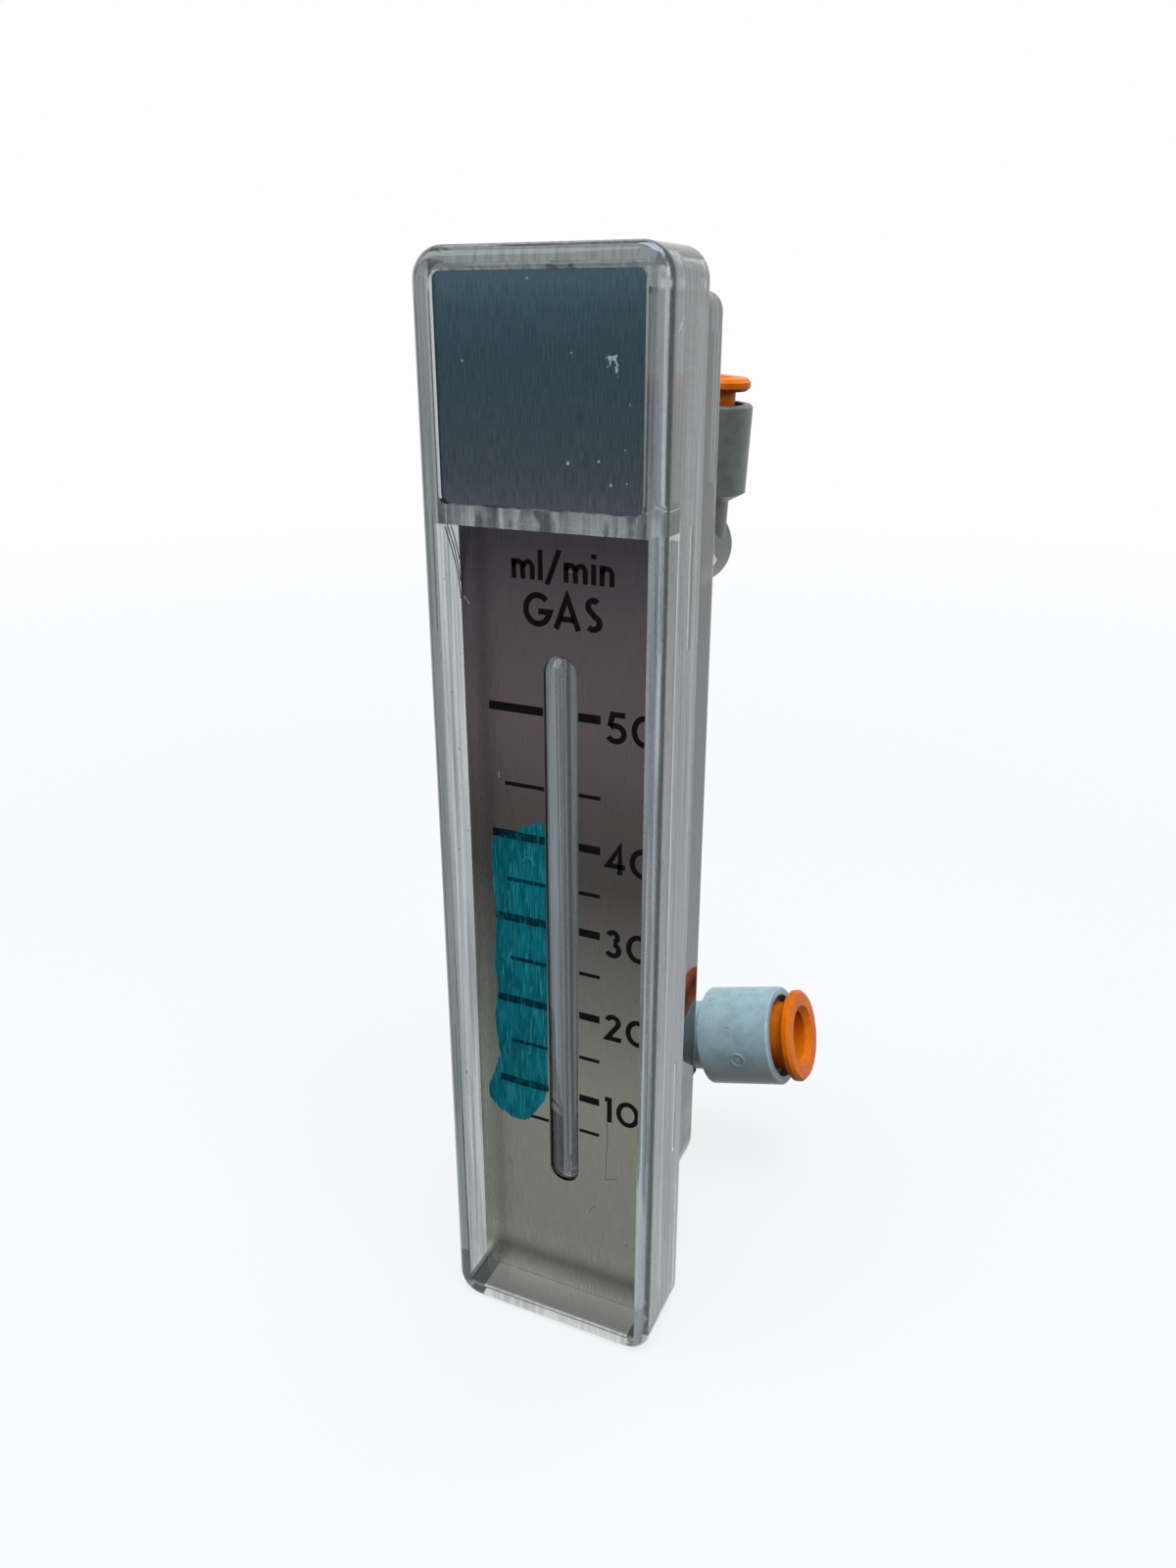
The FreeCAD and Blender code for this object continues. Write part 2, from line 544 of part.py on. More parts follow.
def make_elbow_body():
    """Moulded elbow: a hub that swivels on the stud, a neck and a wider cup for the tube grip."""
    hub_end = ARM_AXIS_DEPTH + NECK_RADIUS
    hub = along_y(HUB_RADIUS, HUB_START, hub_end)
    end_edges = [edge for edge in hub.Edges if abs(edge.BoundBox.YMin - hub_end) < 1e-3]
    hub = hub.makeFillet(HUB_END_RADIUS, end_edges)
    cup = [(0, 0), (NECK_RADIUS, 0), (NECK_RADIUS, CUP_START - CUP_CONE_LENGTH), (CUP_RADIUS, CUP_START),
           (CUP_RADIUS, CUP_END - CUP_EDGE_CHAMFER), (CUP_RADIUS - CUP_EDGE_CHAMFER, CUP_END), (0, CUP_END)]
    arm = moved(turned(cup), y=ARM_AXIS_DEPTH).fuse(make_gate_mark())
    lip_room = JOURNAL_RADIUS + JOURNAL_LIP + LIP_CLEARANCE
    lip_start = JOURNAL_END - JOURNAL_LIP_LENGTH - LIP_CLEARANCE
    socket = [along_y(JOURNAL_RADIUS + JOURNAL_CLEARANCE, HUB_START - CUT_MARGIN, lip_start),
              along_y(lip_room, lip_start, JOURNAL_END + LIP_CLEARANCE),
              along_y(ARM_PASSAGE_RADIUS, JOURNAL_END, ARM_AXIS_DEPTH + ARM_PASSAGE_RADIUS)]
    seal_end = SEAL_START + SEAL_LENGTH
    mouth = CUP_END + CUT_MARGIN
    bore = [(0, 0), (ARM_PASSAGE_RADIUS, 0), (ARM_PASSAGE_RADIUS, TUBE_STOP), (TUBE_BORE_RADIUS, TUBE_STOP),
            (TUBE_BORE_RADIUS, SEAL_START), (SEAL_RADIUS, SEAL_START), (SEAL_RADIUS, seal_end),
            (GRIP_RELIEF_RADIUS, seal_end), (GRIP_RELIEF_RADIUS, GRIP_SEAT), (SLEEVE_RADIUS, GRIP_SEAT),
            (SLEEVE_RADIUS, mouth), (0, mouth)]
    return hub.fuse(arm).cut(socket + [moved(turned(bore), y=ARM_AXIS_DEPTH)])


def make_tube_seal():
    """Lip seal: a ring whose inner lip leans towards the tube stop."""
    gap = RING_CLEARANCE
    low, high = SEAL_START + gap, SEAL_START + SEAL_LENGTH - gap
    outer, lip = SEAL_RADIUS - gap, TUBE_RADIUS - SEAL_SQUEEZE
    waist = (outer + lip) / 2
    middle = (low + high) / 2
    profile = [(outer, low), (outer, high), (waist, high), (lip, middle), (lip, low), (waist, middle),
               (waist, low)]
    return moved(turned(profile), y=ARM_AXIS_DEPTH)


def make_grip_ring():
    """Slit steel cone whose inner teeth hold the tube, seated on the step under the guide ring."""
    seat = GRIP_SEAT + RING_CLEARANCE
    rim_inner = GRIP_RELIEF_RADIUS - RING_CLEARANCE
    outer = SLEEVE_RADIUS - RING_CLEARANCE
    tooth = TUBE_BORE_RADIUS
    profile = [(outer, seat), (outer, seat + GRIP_THICKNESS), (rim_inner, seat + GRIP_THICKNESS),
               (tooth, seat + GRIP_THICKNESS - GRIP_RISE), (tooth, seat - GRIP_RISE), (rim_inner, seat)]
    ring = turned(profile)
    slits = []
    for index in range(GRIP_SLITS):
        slit = Part.makeBox(rim_inner, GRIP_SLIT_WIDTH, 4 * GRIP_RISE,
                            Vector(0, -GRIP_SLIT_WIDTH / 2, seat - 2 * GRIP_RISE))
        slits.append(slit.rotate(Vector(0, 0, 0), Vector(0, 0, 1), 360 / GRIP_SLITS * index))
    return moved(ring.cut(slits), y=ARM_AXIS_DEPTH)


def make_guide_ring():
    """Ring pressed into the cup's mouth, which clamps the grip ring and guides the release collar."""
    low = GRIP_SEAT + GRIP_THICKNESS + 2 * RING_CLEARANCE
    flange_low = GUIDE_END - GUIDE_FLANGE_LENGTH
    inner = COLLAR_STEM_RADIUS + COLLAR_CLEARANCE
    wall_inner = SLEEVE_RADIUS - GUIDE_WALL
    profile = [(SLEEVE_RADIUS, low), (SLEEVE_RADIUS, GUIDE_END), (inner, GUIDE_END), (inner, flange_low),
               (wall_inner, flange_low), (wall_inner, low)]
    return moved(turned(profile), y=ARM_AXIS_DEPTH)


def make_release_collar():
    """Pushed in to free the tube: a flanged sleeve with a barb that keeps it in the guide ring."""
    bore, stem = TUBE_BORE_RADIUS, COLLAR_STEM_RADIUS
    edge = COLLAR_FLANGE_EDGE
    profile = [(bore, STEM_END), (stem, STEM_END), (stem + COLLAR_BARB, BARB_FRONT), (stem, BARB_FRONT),
               (stem, FLANGE_REAR), (COLLAR_FLANGE_RADIUS - edge, FLANGE_REAR),
               (COLLAR_FLANGE_RADIUS, FLANGE_REAR + edge), (COLLAR_FLANGE_RADIUS, FLANGE_FRONT - edge),
               (COLLAR_FLANGE_RADIUS - edge, FLANGE_FRONT), (bore + COLLAR_ENTRY_CHAMFER, FLANGE_FRONT),
               (bore, FLANGE_FRONT - COLLAR_ENTRY_CHAMFER)]
    return moved(turned(profile), y=ARM_AXIS_DEPTH)


def place(shape, swivel_deg, port_z):
    placed = shape.copy()
    placed.rotate(Vector(0, 0, 0), Vector(0, 1, 0), swivel_deg)
    placed.translate(Vector(0, 0, port_z))
    return placed


def export_fitting(port, swivel_deg, port_z):
    export(port + "_insert", make_insert(port_z))
    export(port + "_stud", place(make_stud(), 0.0, port_z))
    export(port + "_stud_o_ring", place(make_stud_o_ring(), 0.0, port_z))
    makers = {"elbow_body": make_elbow_body, "tube_seal": make_tube_seal, "grip_ring": make_grip_ring,
              "guide_ring": make_guide_ring, "release_collar": make_release_collar}
    for piece, maker in makers.items():
        export(port + "_" + piece, place(maker(), swivel_deg, port_z))


def main():
    os.makedirs("parts", exist_ok=True)
    export("bezel", make_bezel())
    export("nameplate", make_nameplate())
    export("scale_plate", make_scale_plate())
    export("scale_graduations", Part.makeCompound(graduation_strokes()))
    export("meter_body", make_meter_body())
    export("float_ball", make_float_ball())
    export("lower_float_stop", make_lower_float_stop())
    export("upper_float_stop", make_upper_float_stop())
    export("top_plug", make_top_plug())
    export("plug_o_ring", make_plug_o_ring())
    export_fitting("inlet", INLET_SWIVEL_DEG, INLET_Z)
    export_fitting("outlet", OUTLET_SWIVEL_DEG, OUTLET_Z)


main()
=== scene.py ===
"""Looks of a clear panel-mounted flow meter with two push-in elbow fittings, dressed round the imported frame.

Lengths are in metres in the row frame: +X to the right, +Y into the panel, +Z up. MM turns millimetres into
metres. The CAD nodes keep their shape and get their finishes here, and the print, paint and wear are added.
"""

import logging
import math
import random
from dataclasses import dataclass, field
from enum import Enum
from typing import Any

import bmesh
import bpy
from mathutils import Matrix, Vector, noise


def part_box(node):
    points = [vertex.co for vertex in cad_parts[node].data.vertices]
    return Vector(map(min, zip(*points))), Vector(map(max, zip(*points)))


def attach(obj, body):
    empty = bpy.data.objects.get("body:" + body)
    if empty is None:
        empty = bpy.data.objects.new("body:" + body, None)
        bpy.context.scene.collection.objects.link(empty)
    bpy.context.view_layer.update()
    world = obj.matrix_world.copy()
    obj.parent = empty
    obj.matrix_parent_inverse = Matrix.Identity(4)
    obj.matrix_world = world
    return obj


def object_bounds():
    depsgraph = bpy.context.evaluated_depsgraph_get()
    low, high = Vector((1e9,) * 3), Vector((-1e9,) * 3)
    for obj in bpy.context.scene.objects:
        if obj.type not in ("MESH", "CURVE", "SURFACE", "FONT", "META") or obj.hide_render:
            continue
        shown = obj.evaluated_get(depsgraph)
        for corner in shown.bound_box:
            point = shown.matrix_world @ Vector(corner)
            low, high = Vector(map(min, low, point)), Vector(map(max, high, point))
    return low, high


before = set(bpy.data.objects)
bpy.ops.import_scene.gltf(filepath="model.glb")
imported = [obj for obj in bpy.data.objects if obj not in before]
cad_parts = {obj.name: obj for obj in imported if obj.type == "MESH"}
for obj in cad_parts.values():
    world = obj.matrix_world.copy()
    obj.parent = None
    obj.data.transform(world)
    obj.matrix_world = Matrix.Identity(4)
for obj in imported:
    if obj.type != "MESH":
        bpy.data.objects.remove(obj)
CAD_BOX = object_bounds()

MM = 0.001
# print and wear lie this far off the face below, so that no two faces share a place
LIFT = 0.004 * MM
WHITE = "#FFFFFF"
LOG = logging.getLogger("flow_meter")

Colour = tuple[float, float, float, float]
Point = tuple[float, float]
Place = tuple[float, float, float]
Mesh = bmesh.types.BMesh
Tree = bpy.types.NodeTree
Node = bpy.types.Node
# what can be given to a node's input: a number, a hex colour, or what feeds it
Feed = float | str | Node | bpy.types.NodeSocket


def linear(hex_colour: str) -> Colour:
    """Turns an sRGB hex colour into the linear colour that the shaders use.

    Args:
        hex_colour: a colour such as "#3E5058".

    Returns:
        Linear red, green, blue and an alpha of 1.
    """
    channels = [int(hex_colour[i:i + 2], 16) / 255 for i in (1, 3, 5)]
    red, green, blue = (c / 12.92 if c <= 0.04045 else ((c + 0.055) / 1.055) ** 2.4 for c in channels)
    return red, green, blue, 1.0


def add_node(tree: Tree, kind: str, inputs: dict[Any, Any] | None = None, **options: Any) -> Node:
    """Adds one node with its settings and links.

    Args:
        tree: the node tree that gets the node.
        kind: Blender's name for the node's type.
        inputs: socket names or numbers, each with a value, a hex colour, or the socket or node that feeds
            it. A node feeds it through its first output.
        options: the node's own settings by name.

    Returns:
        The new node.
    """
    node = tree.nodes.new(kind)
    for name, value in options.items():
        setattr(node, name, value)
    for name, value in (inputs or {}).items():
        if isinstance(value, Node):
            value = value.outputs[0]
        if isinstance(value, bpy.types.NodeSocket):
            tree.links.new(value, node.inputs[name])
        else:
            node.inputs[name].default_value = linear(value) if isinstance(value, str) else value
    return node


def empty_tree(owner: bpy.types.Material | bpy.types.World) -> Tree:
    """Turns on the nodes of a material or world and clears them."""
    owner.use_nodes = True
    owner.node_tree.nodes.clear()
    return owner.node_tree


def link(name: str, data: bpy.types.ID) -> bpy.types.Object:
    """Puts a mesh, light or camera into the scene as an object."""
    made = bpy.data.objects.new(name, data)
    bpy.context.scene.collection.objects.link(made)
    return made


def link_mesh(name: str, mesh: Mesh, material: bpy.types.Material) -> bpy.types.Object:
    """Puts a mesh that was built in the row frame into the scene, and frees the original."""
    data = bpy.data.meshes.new(name)
    mesh.to_mesh(data)
    mesh.free()
    data.materials.append(material)
    return link(name, data)


def place(tree: Tree, source: str = "Object") -> list[bpy.types.NodeSocket]:
    """Gives X, Y and Z of the shaded point in the row frame, in metres, or of its direction or normal."""
    point = add_node(tree, "ShaderNodeTexCoord").outputs[source]
    return list(add_node(tree, "ShaderNodeSeparateXYZ", {0: point}).outputs)


def grade(tree: Tree, value: Feed, low: float, high: float, start: Feed, end: Feed,
          share: Feed = 1.0) -> Node:
    """Goes from one number or tone to another as a value changes, and holds each one beyond its own end.

    Args:
        tree: the node tree.
        value: what decides.
        low: the value at which it is all start.
        high: the value at which it is all end; it may be the smaller one.
        start: a number, or a tone as a hex colour or as what feeds it.
        end: the same.
        share: how much of an end tone shows at most.

    Returns:
        The node that gives the result.
    """
    if isinstance(start, float):
        return add_node(tree, "ShaderNodeMapRange", {"Value": value, "From Min": low, "From Max": high,
                                                     "To Min": start, "To Max": end})
    return add_node(tree, "ShaderNodeMixRGB", {"Fac": grade(tree, value, low, high, 0.0, share),
                                               "Color1": start, "Color2": end})


@dataclass(frozen=True)
class Pattern:
    """A noise pattern whose lumps have a real size. Its values swing round one half.

    Args:
        size_mm: size of a lump along X, Y and Z, in millimetres.
        low: the value at which what it grades starts to change.
        high: the value at which that has changed.
        detail: how many finer layers it has.
        swirl: how much its lumps swirl.
    """

    size_mm: Place
    low: float = 0.0
    high: float = 1.0
    detail: float = 2.0
    swirl: float = 0.0

    def values(self, tree: Tree) -> Node:
        """Builds the pattern itself, scaled from its size."""
        scaled = add_node(tree, "ShaderNodeMapping", {
            "Vector": add_node(tree, "ShaderNodeTexCoord").outputs["Object"],
            "Scale": tuple(1 / (size * MM) for size in self.size_mm)})
        return add_node(tree, "ShaderNodeTexNoise", {"Vector": scaled, "Scale": 1.0, "Detail": self.detail,
                                                     "Distortion": self.swirl})

    def grade(self, tree: Tree, start: Feed, end: Feed, share: Feed = 1.0) -> Node:
        """Goes from one number or tone to another where the pattern rises."""
        return grade(tree, self.values(tree), self.low, self.high, start, end, share)

    def relief(self, tree: Tree, depth_mm: float, strength: float = 1.0) -> Node:
        """Raises the surface where the pattern rises."""
        return add_node(tree, "ShaderNodeBump", {"Height": self.values(tree), "Distance": depth_mm * MM,
                                                 "Strength": strength})


class Facing(Enum):
    """Which face of the meter a flat mark lies on."""

    FRONT = "front"
    SIDE = "side"

    def point(self, across: float, up: float, depth: float) -> Place:
        """Turns a mark's own across, up and depth into a point of the row frame."""
        return (across, depth, up) if self is Facing.FRONT else (depth, across, up)


class Shine(Enum):
    """How smooth a surface is, as the roughness of its shader."""

    POLISHED = 0.03
    GLOSS = 0.22
    SATIN = 0.38
    MATT = 0.6


# ---- finishes

@dataclass(frozen=True)
class Finish:
    """A real material and how its surface was made.

    Args:
        name: the material's name.
        slot: the record's material slot that it stands for; not used.
    """

    name: str
    slot: str

    def shade(self, tree: Tree) -> dict[str, Any]:
        """Builds the pattern nodes and returns the shader's inputs."""
        raise NotImplementedError

    def inside(self, tree: Tree) -> dict[str, Any]:
        """Returns what fills the solid, as an input of the output node; nothing for an opaque finish."""
        return {}

    def material(self) -> bpy.types.Material:
        """Returns the Blender material, made the first time that it is asked for."""
        made = bpy.data.materials.get(self.name)
        if made:
            return made
        made = bpy.data.materials.new(self.name)
        tree = empty_tree(made)
        shader = add_node(tree, "ShaderNodeBsdfPrincipled", self.shade(tree))
        add_node(tree, "ShaderNodeOutputMaterial", {"Surface": shader, **self.inside(tree)})
        return made


@dataclass(frozen=True)
class ClearPlastic(Finish):
    """Clear plastic, moulded or turned: polished walls, slow ripples, pale flow lines and a grey depth."""

    tint: str = "#DADEDD"
    haze_tint: str = "#9BA1A1"
    # flow lines run along the moulding's height
    flow: Pattern = Pattern((0.7, 0.7, 28.0), 0.44, 0.62, 3.0)
    ior: float = 1.585
    ripple: Pattern = Pattern((5.0, 5.0, 14.0), detail=1.0)
    ripple_depth_mm: float = 0.012
    smudges: Pattern = Pattern((1.2, 1.2, 3.0), 0.45, 0.8, 4.0, 0.3)
    haze: float = 0.07
    dust: Pattern = Pattern((0.6, 0.6, 0.9), 0.35, 0.7, 5.0, 0.4)
    # share of the light that passes the skin, where it is clean and where it is dusty
    clean: float = 1.0
    dusty: float = 0.94
    # thick walls swallow some light, so they look grey
    depth_colour: Colour = (0.25, 0.31, 0.32, 1.0)
    depth_per_metre: float = 75.0

    def shade(self, tree: Tree) -> dict[str, Any]:
        """Builds the flow lines, the smudges, the dust and the ripples."""
        return {"Base Color": self.flow.grade(tree, self.tint, self.haze_tint),
                "Roughness": self.smudges.grade(tree, Shine.POLISHED.value, self.haze), "IOR": self.ior,
                "Transmission Weight": self.dust.grade(tree, self.clean, self.dusty),
                "Normal": self.ripple.relief(tree, self.ripple_depth_mm)}

    def inside(self, tree: Tree) -> dict[str, Any]:
        """Fills the solid with the plastic's own depth of tone."""
        return {"Volume": add_node(tree, "ShaderNodeVolumeAbsorption", {"Color": self.depth_colour,
                                                                        "Density": self.depth_per_metre})}


@dataclass(frozen=True)
class BezelPlastic(ClearPlastic):
    """Clear plastic, moulded: painted shade inside its foot, and a front that is darker to the left and on top
    and paler to the right.
    """

    # the front's face, how deep its own darker and paler tones hold, and where the painted shade of the walls
    # starts
    front_mm: float = -9.5
    skin_mm: float = 0.2
    wall_mm: float = 0.3
    # painted shade lies below this height, inside the foot's walls
    foot_shade: str = "#474846"
    foot_shade_top_mm: float = -57.9
    # the front is darker left of one place and above another
    darker_rim_tone: str = "#7F8588"
    darker_left_mm: float = -11.0
    darker_top_mm: float = 58.3
    # right of this place the front stops that share of the light, so that it looks paler
    paler_right_mm: float = 11.0
    paler_share: float = 0.3
    # how far the painted shade and the depth masks take to fade, and how far the front's tones take
    slow_fade_mm: float = 0.3
    rim_fade_mm: float = 0.2

    def shade(self, tree: Tree) -> dict[str, Any]:
        """Lays the painted shade in the foot, the darker left and top of the front and its paler right over
        the clean plastic.
        """
        inputs = super().shade(tree)
        across, depth, up = place(tree)
        foot, fade = self.foot_shade_top_mm, self.rim_fade_mm
        wall, skin = self.front_mm + self.wall_mm, self.front_mm + self.skin_mm
        # painted shade: below a height, the foot's inner walls take a dark tone
        walls = grade(tree, depth, wall * MM, (wall + self.slow_fade_mm) * MM, 0.0, 1.0)
        tone = grade(tree, up, foot * MM, (foot - self.slow_fade_mm) * MM, inputs["Base Color"], self.foot_shade,
                     walls)
        left, top, right = self.darker_left_mm, self.darker_top_mm, self.paler_right_mm
        rims = add_node(tree, "ShaderNodeMath", {
            0: grade(tree, across, (left + fade) * MM, left * MM, 0.0, 1.0),
            1: grade(tree, up, (top - fade) * MM, top * MM, 0.0, 1.0)}, operation="MAXIMUM")
        # the darker left and top and the paler right hold only on the front's skin
        front, scuffs = (grade(tree, depth, (skin + self.slow_fade_mm) * MM, skin * MM, 0.0, full)
                         for full in (1.0, self.paler_share))
        paler_right = grade(tree, across, (right - fade) * MM, right * MM, 0.0, scuffs)
        clear = add_node(tree, "ShaderNodeMath", {0: inputs["Transmission Weight"], 1: paler_right},
                         operation="SUBTRACT")
        return {**inputs, "Base Color": grade(tree, rims, 0.0, 1.0, tone, self.darker_rim_tone, front),
                "Transmission Weight": clear}


@dataclass(frozen=True)
class ThreadedAcetal(Finish):
    """Natural acetal, turned: milky white crests, with painted shade in the thread's roots."""

    crest: str = "#F2F5F6"
    root_shade: str = "#4A5052"
    axis_depth_mm: float = 5.0
    root_mm: float = 2.52
    crest_mm: float = 2.78
    skin: Pattern = Pattern((1.0, 1.0, 0.1), 0.4, 0.6)
    ior: float = 1.48
    clear: float = 0.1

    def shade(self, tree: Tree) -> dict[str, Any]:
        """Builds the tone from the distance to the thread's axis."""
        point = add_node(tree, "ShaderNodeTexCoord").outputs["Object"]
        across = add_node(tree, "ShaderNodeVectorMath", {0: point, 1: (1.0, 1.0, 0.0)}, operation="MULTIPLY")
        radius = add_node(tree, "ShaderNodeVectorMath", {0: across, 1: (0.0, self.axis_depth_mm * MM, 0.0)},
                          operation="DISTANCE").outputs["Value"]
        # painted shade: the tone darkens towards the thread's roots
        tone = grade(tree, radius, self.root_mm * MM, self.crest_mm * MM, self.root_shade, self.crest)
        return {"Base Color": tone, "Roughness": self.skin.grade(tree, Shine.GLOSS.value, Shine.SATIN.value),
                "IOR": self.ior, "Transmission Weight": self.clear}


@dataclass(frozen=True)
class BrushedAluminium(Finish):
    """Rolled aluminium sheet, brushed upright and lacquered: fine lines and soft reflections."""

    # heights in millimetres and the sheet's tone at each one, from the foot up: painted reflection, darker
    # towards the top and paler at the foot
    tones: tuple[tuple[float, str], ...] = (
        (-58.4, "#F2F2E6"), (-55.0, "#8E8E84"), (-50.0, "#7B7B71"), (-30.0, "#7B7B71"), (-14.0, "#61605B"),
        (-2.0, "#44413F"), (6.0, "#4C4444"), (15.0, "#584E50"), (27.0, "#4E474A"), (34.0, "#3A373A"))
    # real brush lines are near 0.05 mm wide; they are drawn wider so that they show
    lines: Pattern = Pattern((0.13, 0.13, 3.0), 0.3, 0.7, 3.0)
    line_contrast: float = 0.06
    line_depth_mm: float = 0.002
    # painted light: the sheet is paler along the left edge, by this gain and from this place to that one,
    # where it reflects the darker wall
    left_edge_painted_light: float = 1.0
    edge_mm: Point = (-8.4, -10.0)
    # height in millimetres above which the sheet, under the bar, shows painted reflections: mottled dark and
    # bright patches
    glints_from_mm: float | None = None
    glints_fade_mm: float = 0.2
    glints_dark: str = "#44525F"
    glints_bright: str = "#F4F6F8"
    glint_patches: Pattern = Pattern((1.3, 4.0, 3.0), 0.36, 0.5, 1.0)

    def shade(self, tree: Tree) -> dict[str, Any]:
        """Builds the brushed lines over the sheet's slow change of tone, its painted light along the left edge
        and its painted reflections under the bar.
        """
        across, _, up = place(tree)
        # tone by height; on the scale plate it is painted reflection
        tone: Feed = self.tones[0][1]
        for (low, _), (high, colour) in zip(self.tones, self.tones[1:]):
            tone = grade(tree, up, low * MM, high * MM, tone, colour)
        # painted light along the left edge
        edge = grade(tree, across, self.edge_mm[1] * MM, self.edge_mm[0] * MM, self.left_edge_painted_light, 1.0)
        tone = add_node(tree, "ShaderNodeVectorMath", {0: tone, "Scale": edge}, operation="SCALE")
        # painted reflection: mottled dark and bright patches under the bar
        if self.glints_from_mm is not None:
            tone = grade(tree, up, self.glints_from_mm * MM, (self.glints_from_mm + self.glints_fade_mm) * MM, tone,
                         self.glint_patches.grade(tree, self.glints_dark, self.glints_bright))
        gain = self.lines.grade(tree, 1 - self.line_contrast, 1 + self.line_contrast)
        tone = add_node(tree, "ShaderNodeVectorMath", {0: tone, "Scale": gain}, operation="SCALE")
        return {"Base Color": tone, "Metallic": 1.0,
                "Roughness": self.lines.grade(tree, Shine.SATIN.value, Shine.GLOSS.value),
                "Normal": self.lines.relief(tree, self.line_depth_mm, 0.5)}


@dataclass(frozen=True)
class MarkerPaint(Finish):
    """Hand-brushed enamel: thin streaks along the strokes, so that the marks below show through in part."""

    body: str = "#00727A"
    thick: str = "#005C65"
    coats: Pattern = Pattern((1.6, 1.0, 5.0), 0.4, 0.62, 2.0, 1.0)
    thin: str = "#3C999C"
    strokes: Pattern = Pattern((0.17, 1.0, 3.0), 0.53, 0.68, 3.0, 0.7)
    thin_share: float = 0.8
    # the film covers less between the same strokes
    gaps: Pattern = Pattern((0.17, 1.0, 3.0), 0.3, 0.5, 3.0, 0.7)
    cover: Point = (0.84, 0.97)
    relief_mm: float = 0.03

    def shade(self, tree: Tree) -> dict[str, Any]:
        """Builds the streaks of colour, cover and relief."""
        paint = self.coats.grade(tree, self.thick, self.body)
        return {"Base Color": self.strokes.grade(tree, paint, self.thin, self.thin_share),
                "Roughness": Shine.SATIN.value, "Alpha": self.gaps.grade(tree, *self.cover),
                "Specular IOR Level": 0.05, "Normal": self.strokes.relief(tree, self.relief_mm, 0.6)}


@dataclass(frozen=True)
class InkUnderPaint(Finish):
    """Black marks that show through thin enamel: a dark teal, broken along the brush strokes."""

    dark: str = "#05323A"
    veiled: str = "#004B54"
    strokes: Pattern = Pattern((0.32, 1.0, 1.5), 0.5, 0.7)
    gaps: Pattern = Pattern((0.32, 1.0, 1.5), 0.38, 0.6)
    cover: Point = (0.93, 0.15)

    def shade(self, tree: Tree) -> dict[str, Any]:
        """Builds the broken cover."""
        return {"Base Color": self.strokes.grade(tree, self.dark, self.veiled),
                "Roughness": Shine.SATIN.value, "Specular IOR Level": 0.05,
                "Alpha": self.gaps.grade(tree, *self.cover)}


@dataclass(frozen=True)
class MouldedResin(Finish):
    """Glass-filled resin, moulded: a cloudy tone, fine grit, dirty scuffs in the surface and painted shade on
    faces that look down.
    """

    pale: str = "#A6B9B9"
    deep: str = "#95A7A6"
    cloud: Pattern = Pattern((1.8, 1.8, 1.8), 0.35, 0.65, 4.0, 0.5)
    grit: str = "#5E6763"
    specks: Pattern = Pattern((0.2, 0.2, 0.2), 0.64, 0.76)
    # brown scuffs are rare and a millimetre or so wide
    stain_and_shade: str = "#6A5D4C"
    scuffs: Pattern = Pattern((1.1, 1.1, 1.1), 0.66, 0.74, 5.0, 1.0)
    # how much of their tone grit and scuffs show
    dirt_share: float = 0.7
    # painted shade: the scuffs' tone also darkens faces that look down, between these slopes
    under: float = 0.75
    slopes: Point = (0.1, -0.6)
    gloss: float = 0.35
    relief_mm: float = 0.03

    def shade(self, tree: Tree) -> dict[str, Any]:
        """Builds the cloudy tone, the grit, the scuffs, the painted shade on faces that look down and the
        skin's relief.
        """
        tone = self.cloud.grade(tree, self.deep, self.pale)
        tone = self.specks.grade(tree, tone, self.grit, self.dirt_share)
        tone = self.scuffs.grade(tree, tone, self.stain_and_shade, self.dirt_share)
        # painted shade: faces that look down take the stain tone
        tone = grade(tree, place(tree, "Normal")[2], *self.slopes, tone, self.stain_and_shade, self.under)
        return {"Base Color": tone, "Roughness": Shine.SATIN.value, "Specular IOR Level": self.gloss,
                "Normal": self.specks.relief(tree, self.relief_mm, 0.7)}


@dataclass(frozen=True)
class TurnedMetal(Finish):
    """Metal turned on a lathe along Y: fine rings round the axis and a bright even tone."""

    bright: str = "#BDB59E"
    dark: str = "#8C8470"
    rings: Pattern = Pattern((6.0, 0.12, 6.0), 0.35, 0.65)
    ring_depth_mm: float = 0.006

    def shade(self, tree: Tree) -> dict[str, Any]:
        """Builds the tool marks and their tone."""
        return {"Base Color": self.rings.grade(tree, self.dark, self.bright), "Metallic": 1.0,
                "Roughness": Shine.GLOSS.value, "Normal": self.rings.relief(tree, self.ring_depth_mm, 0.5)}


@dataclass(frozen=True)
class Broken(Finish):
    """A matt finish in two tones that break into each other, such as ink, rubber, a scratch or a chip."""

    tone: str = "#4A4A48"
    other: str = "#6E6E6A"
    patches: Pattern = Pattern((0.3, 0.3, 0.3), 0.4, 0.65, 3.0)
    gloss: float = 0.5

    def shade(self, tree: Tree) -> dict[str, Any]:
        """Builds the two tones."""
        return {"Base Color": self.patches.grade(tree, self.tone, self.other), "Roughness": Shine.MATT.value,
                "Specular IOR Level": self.gloss}


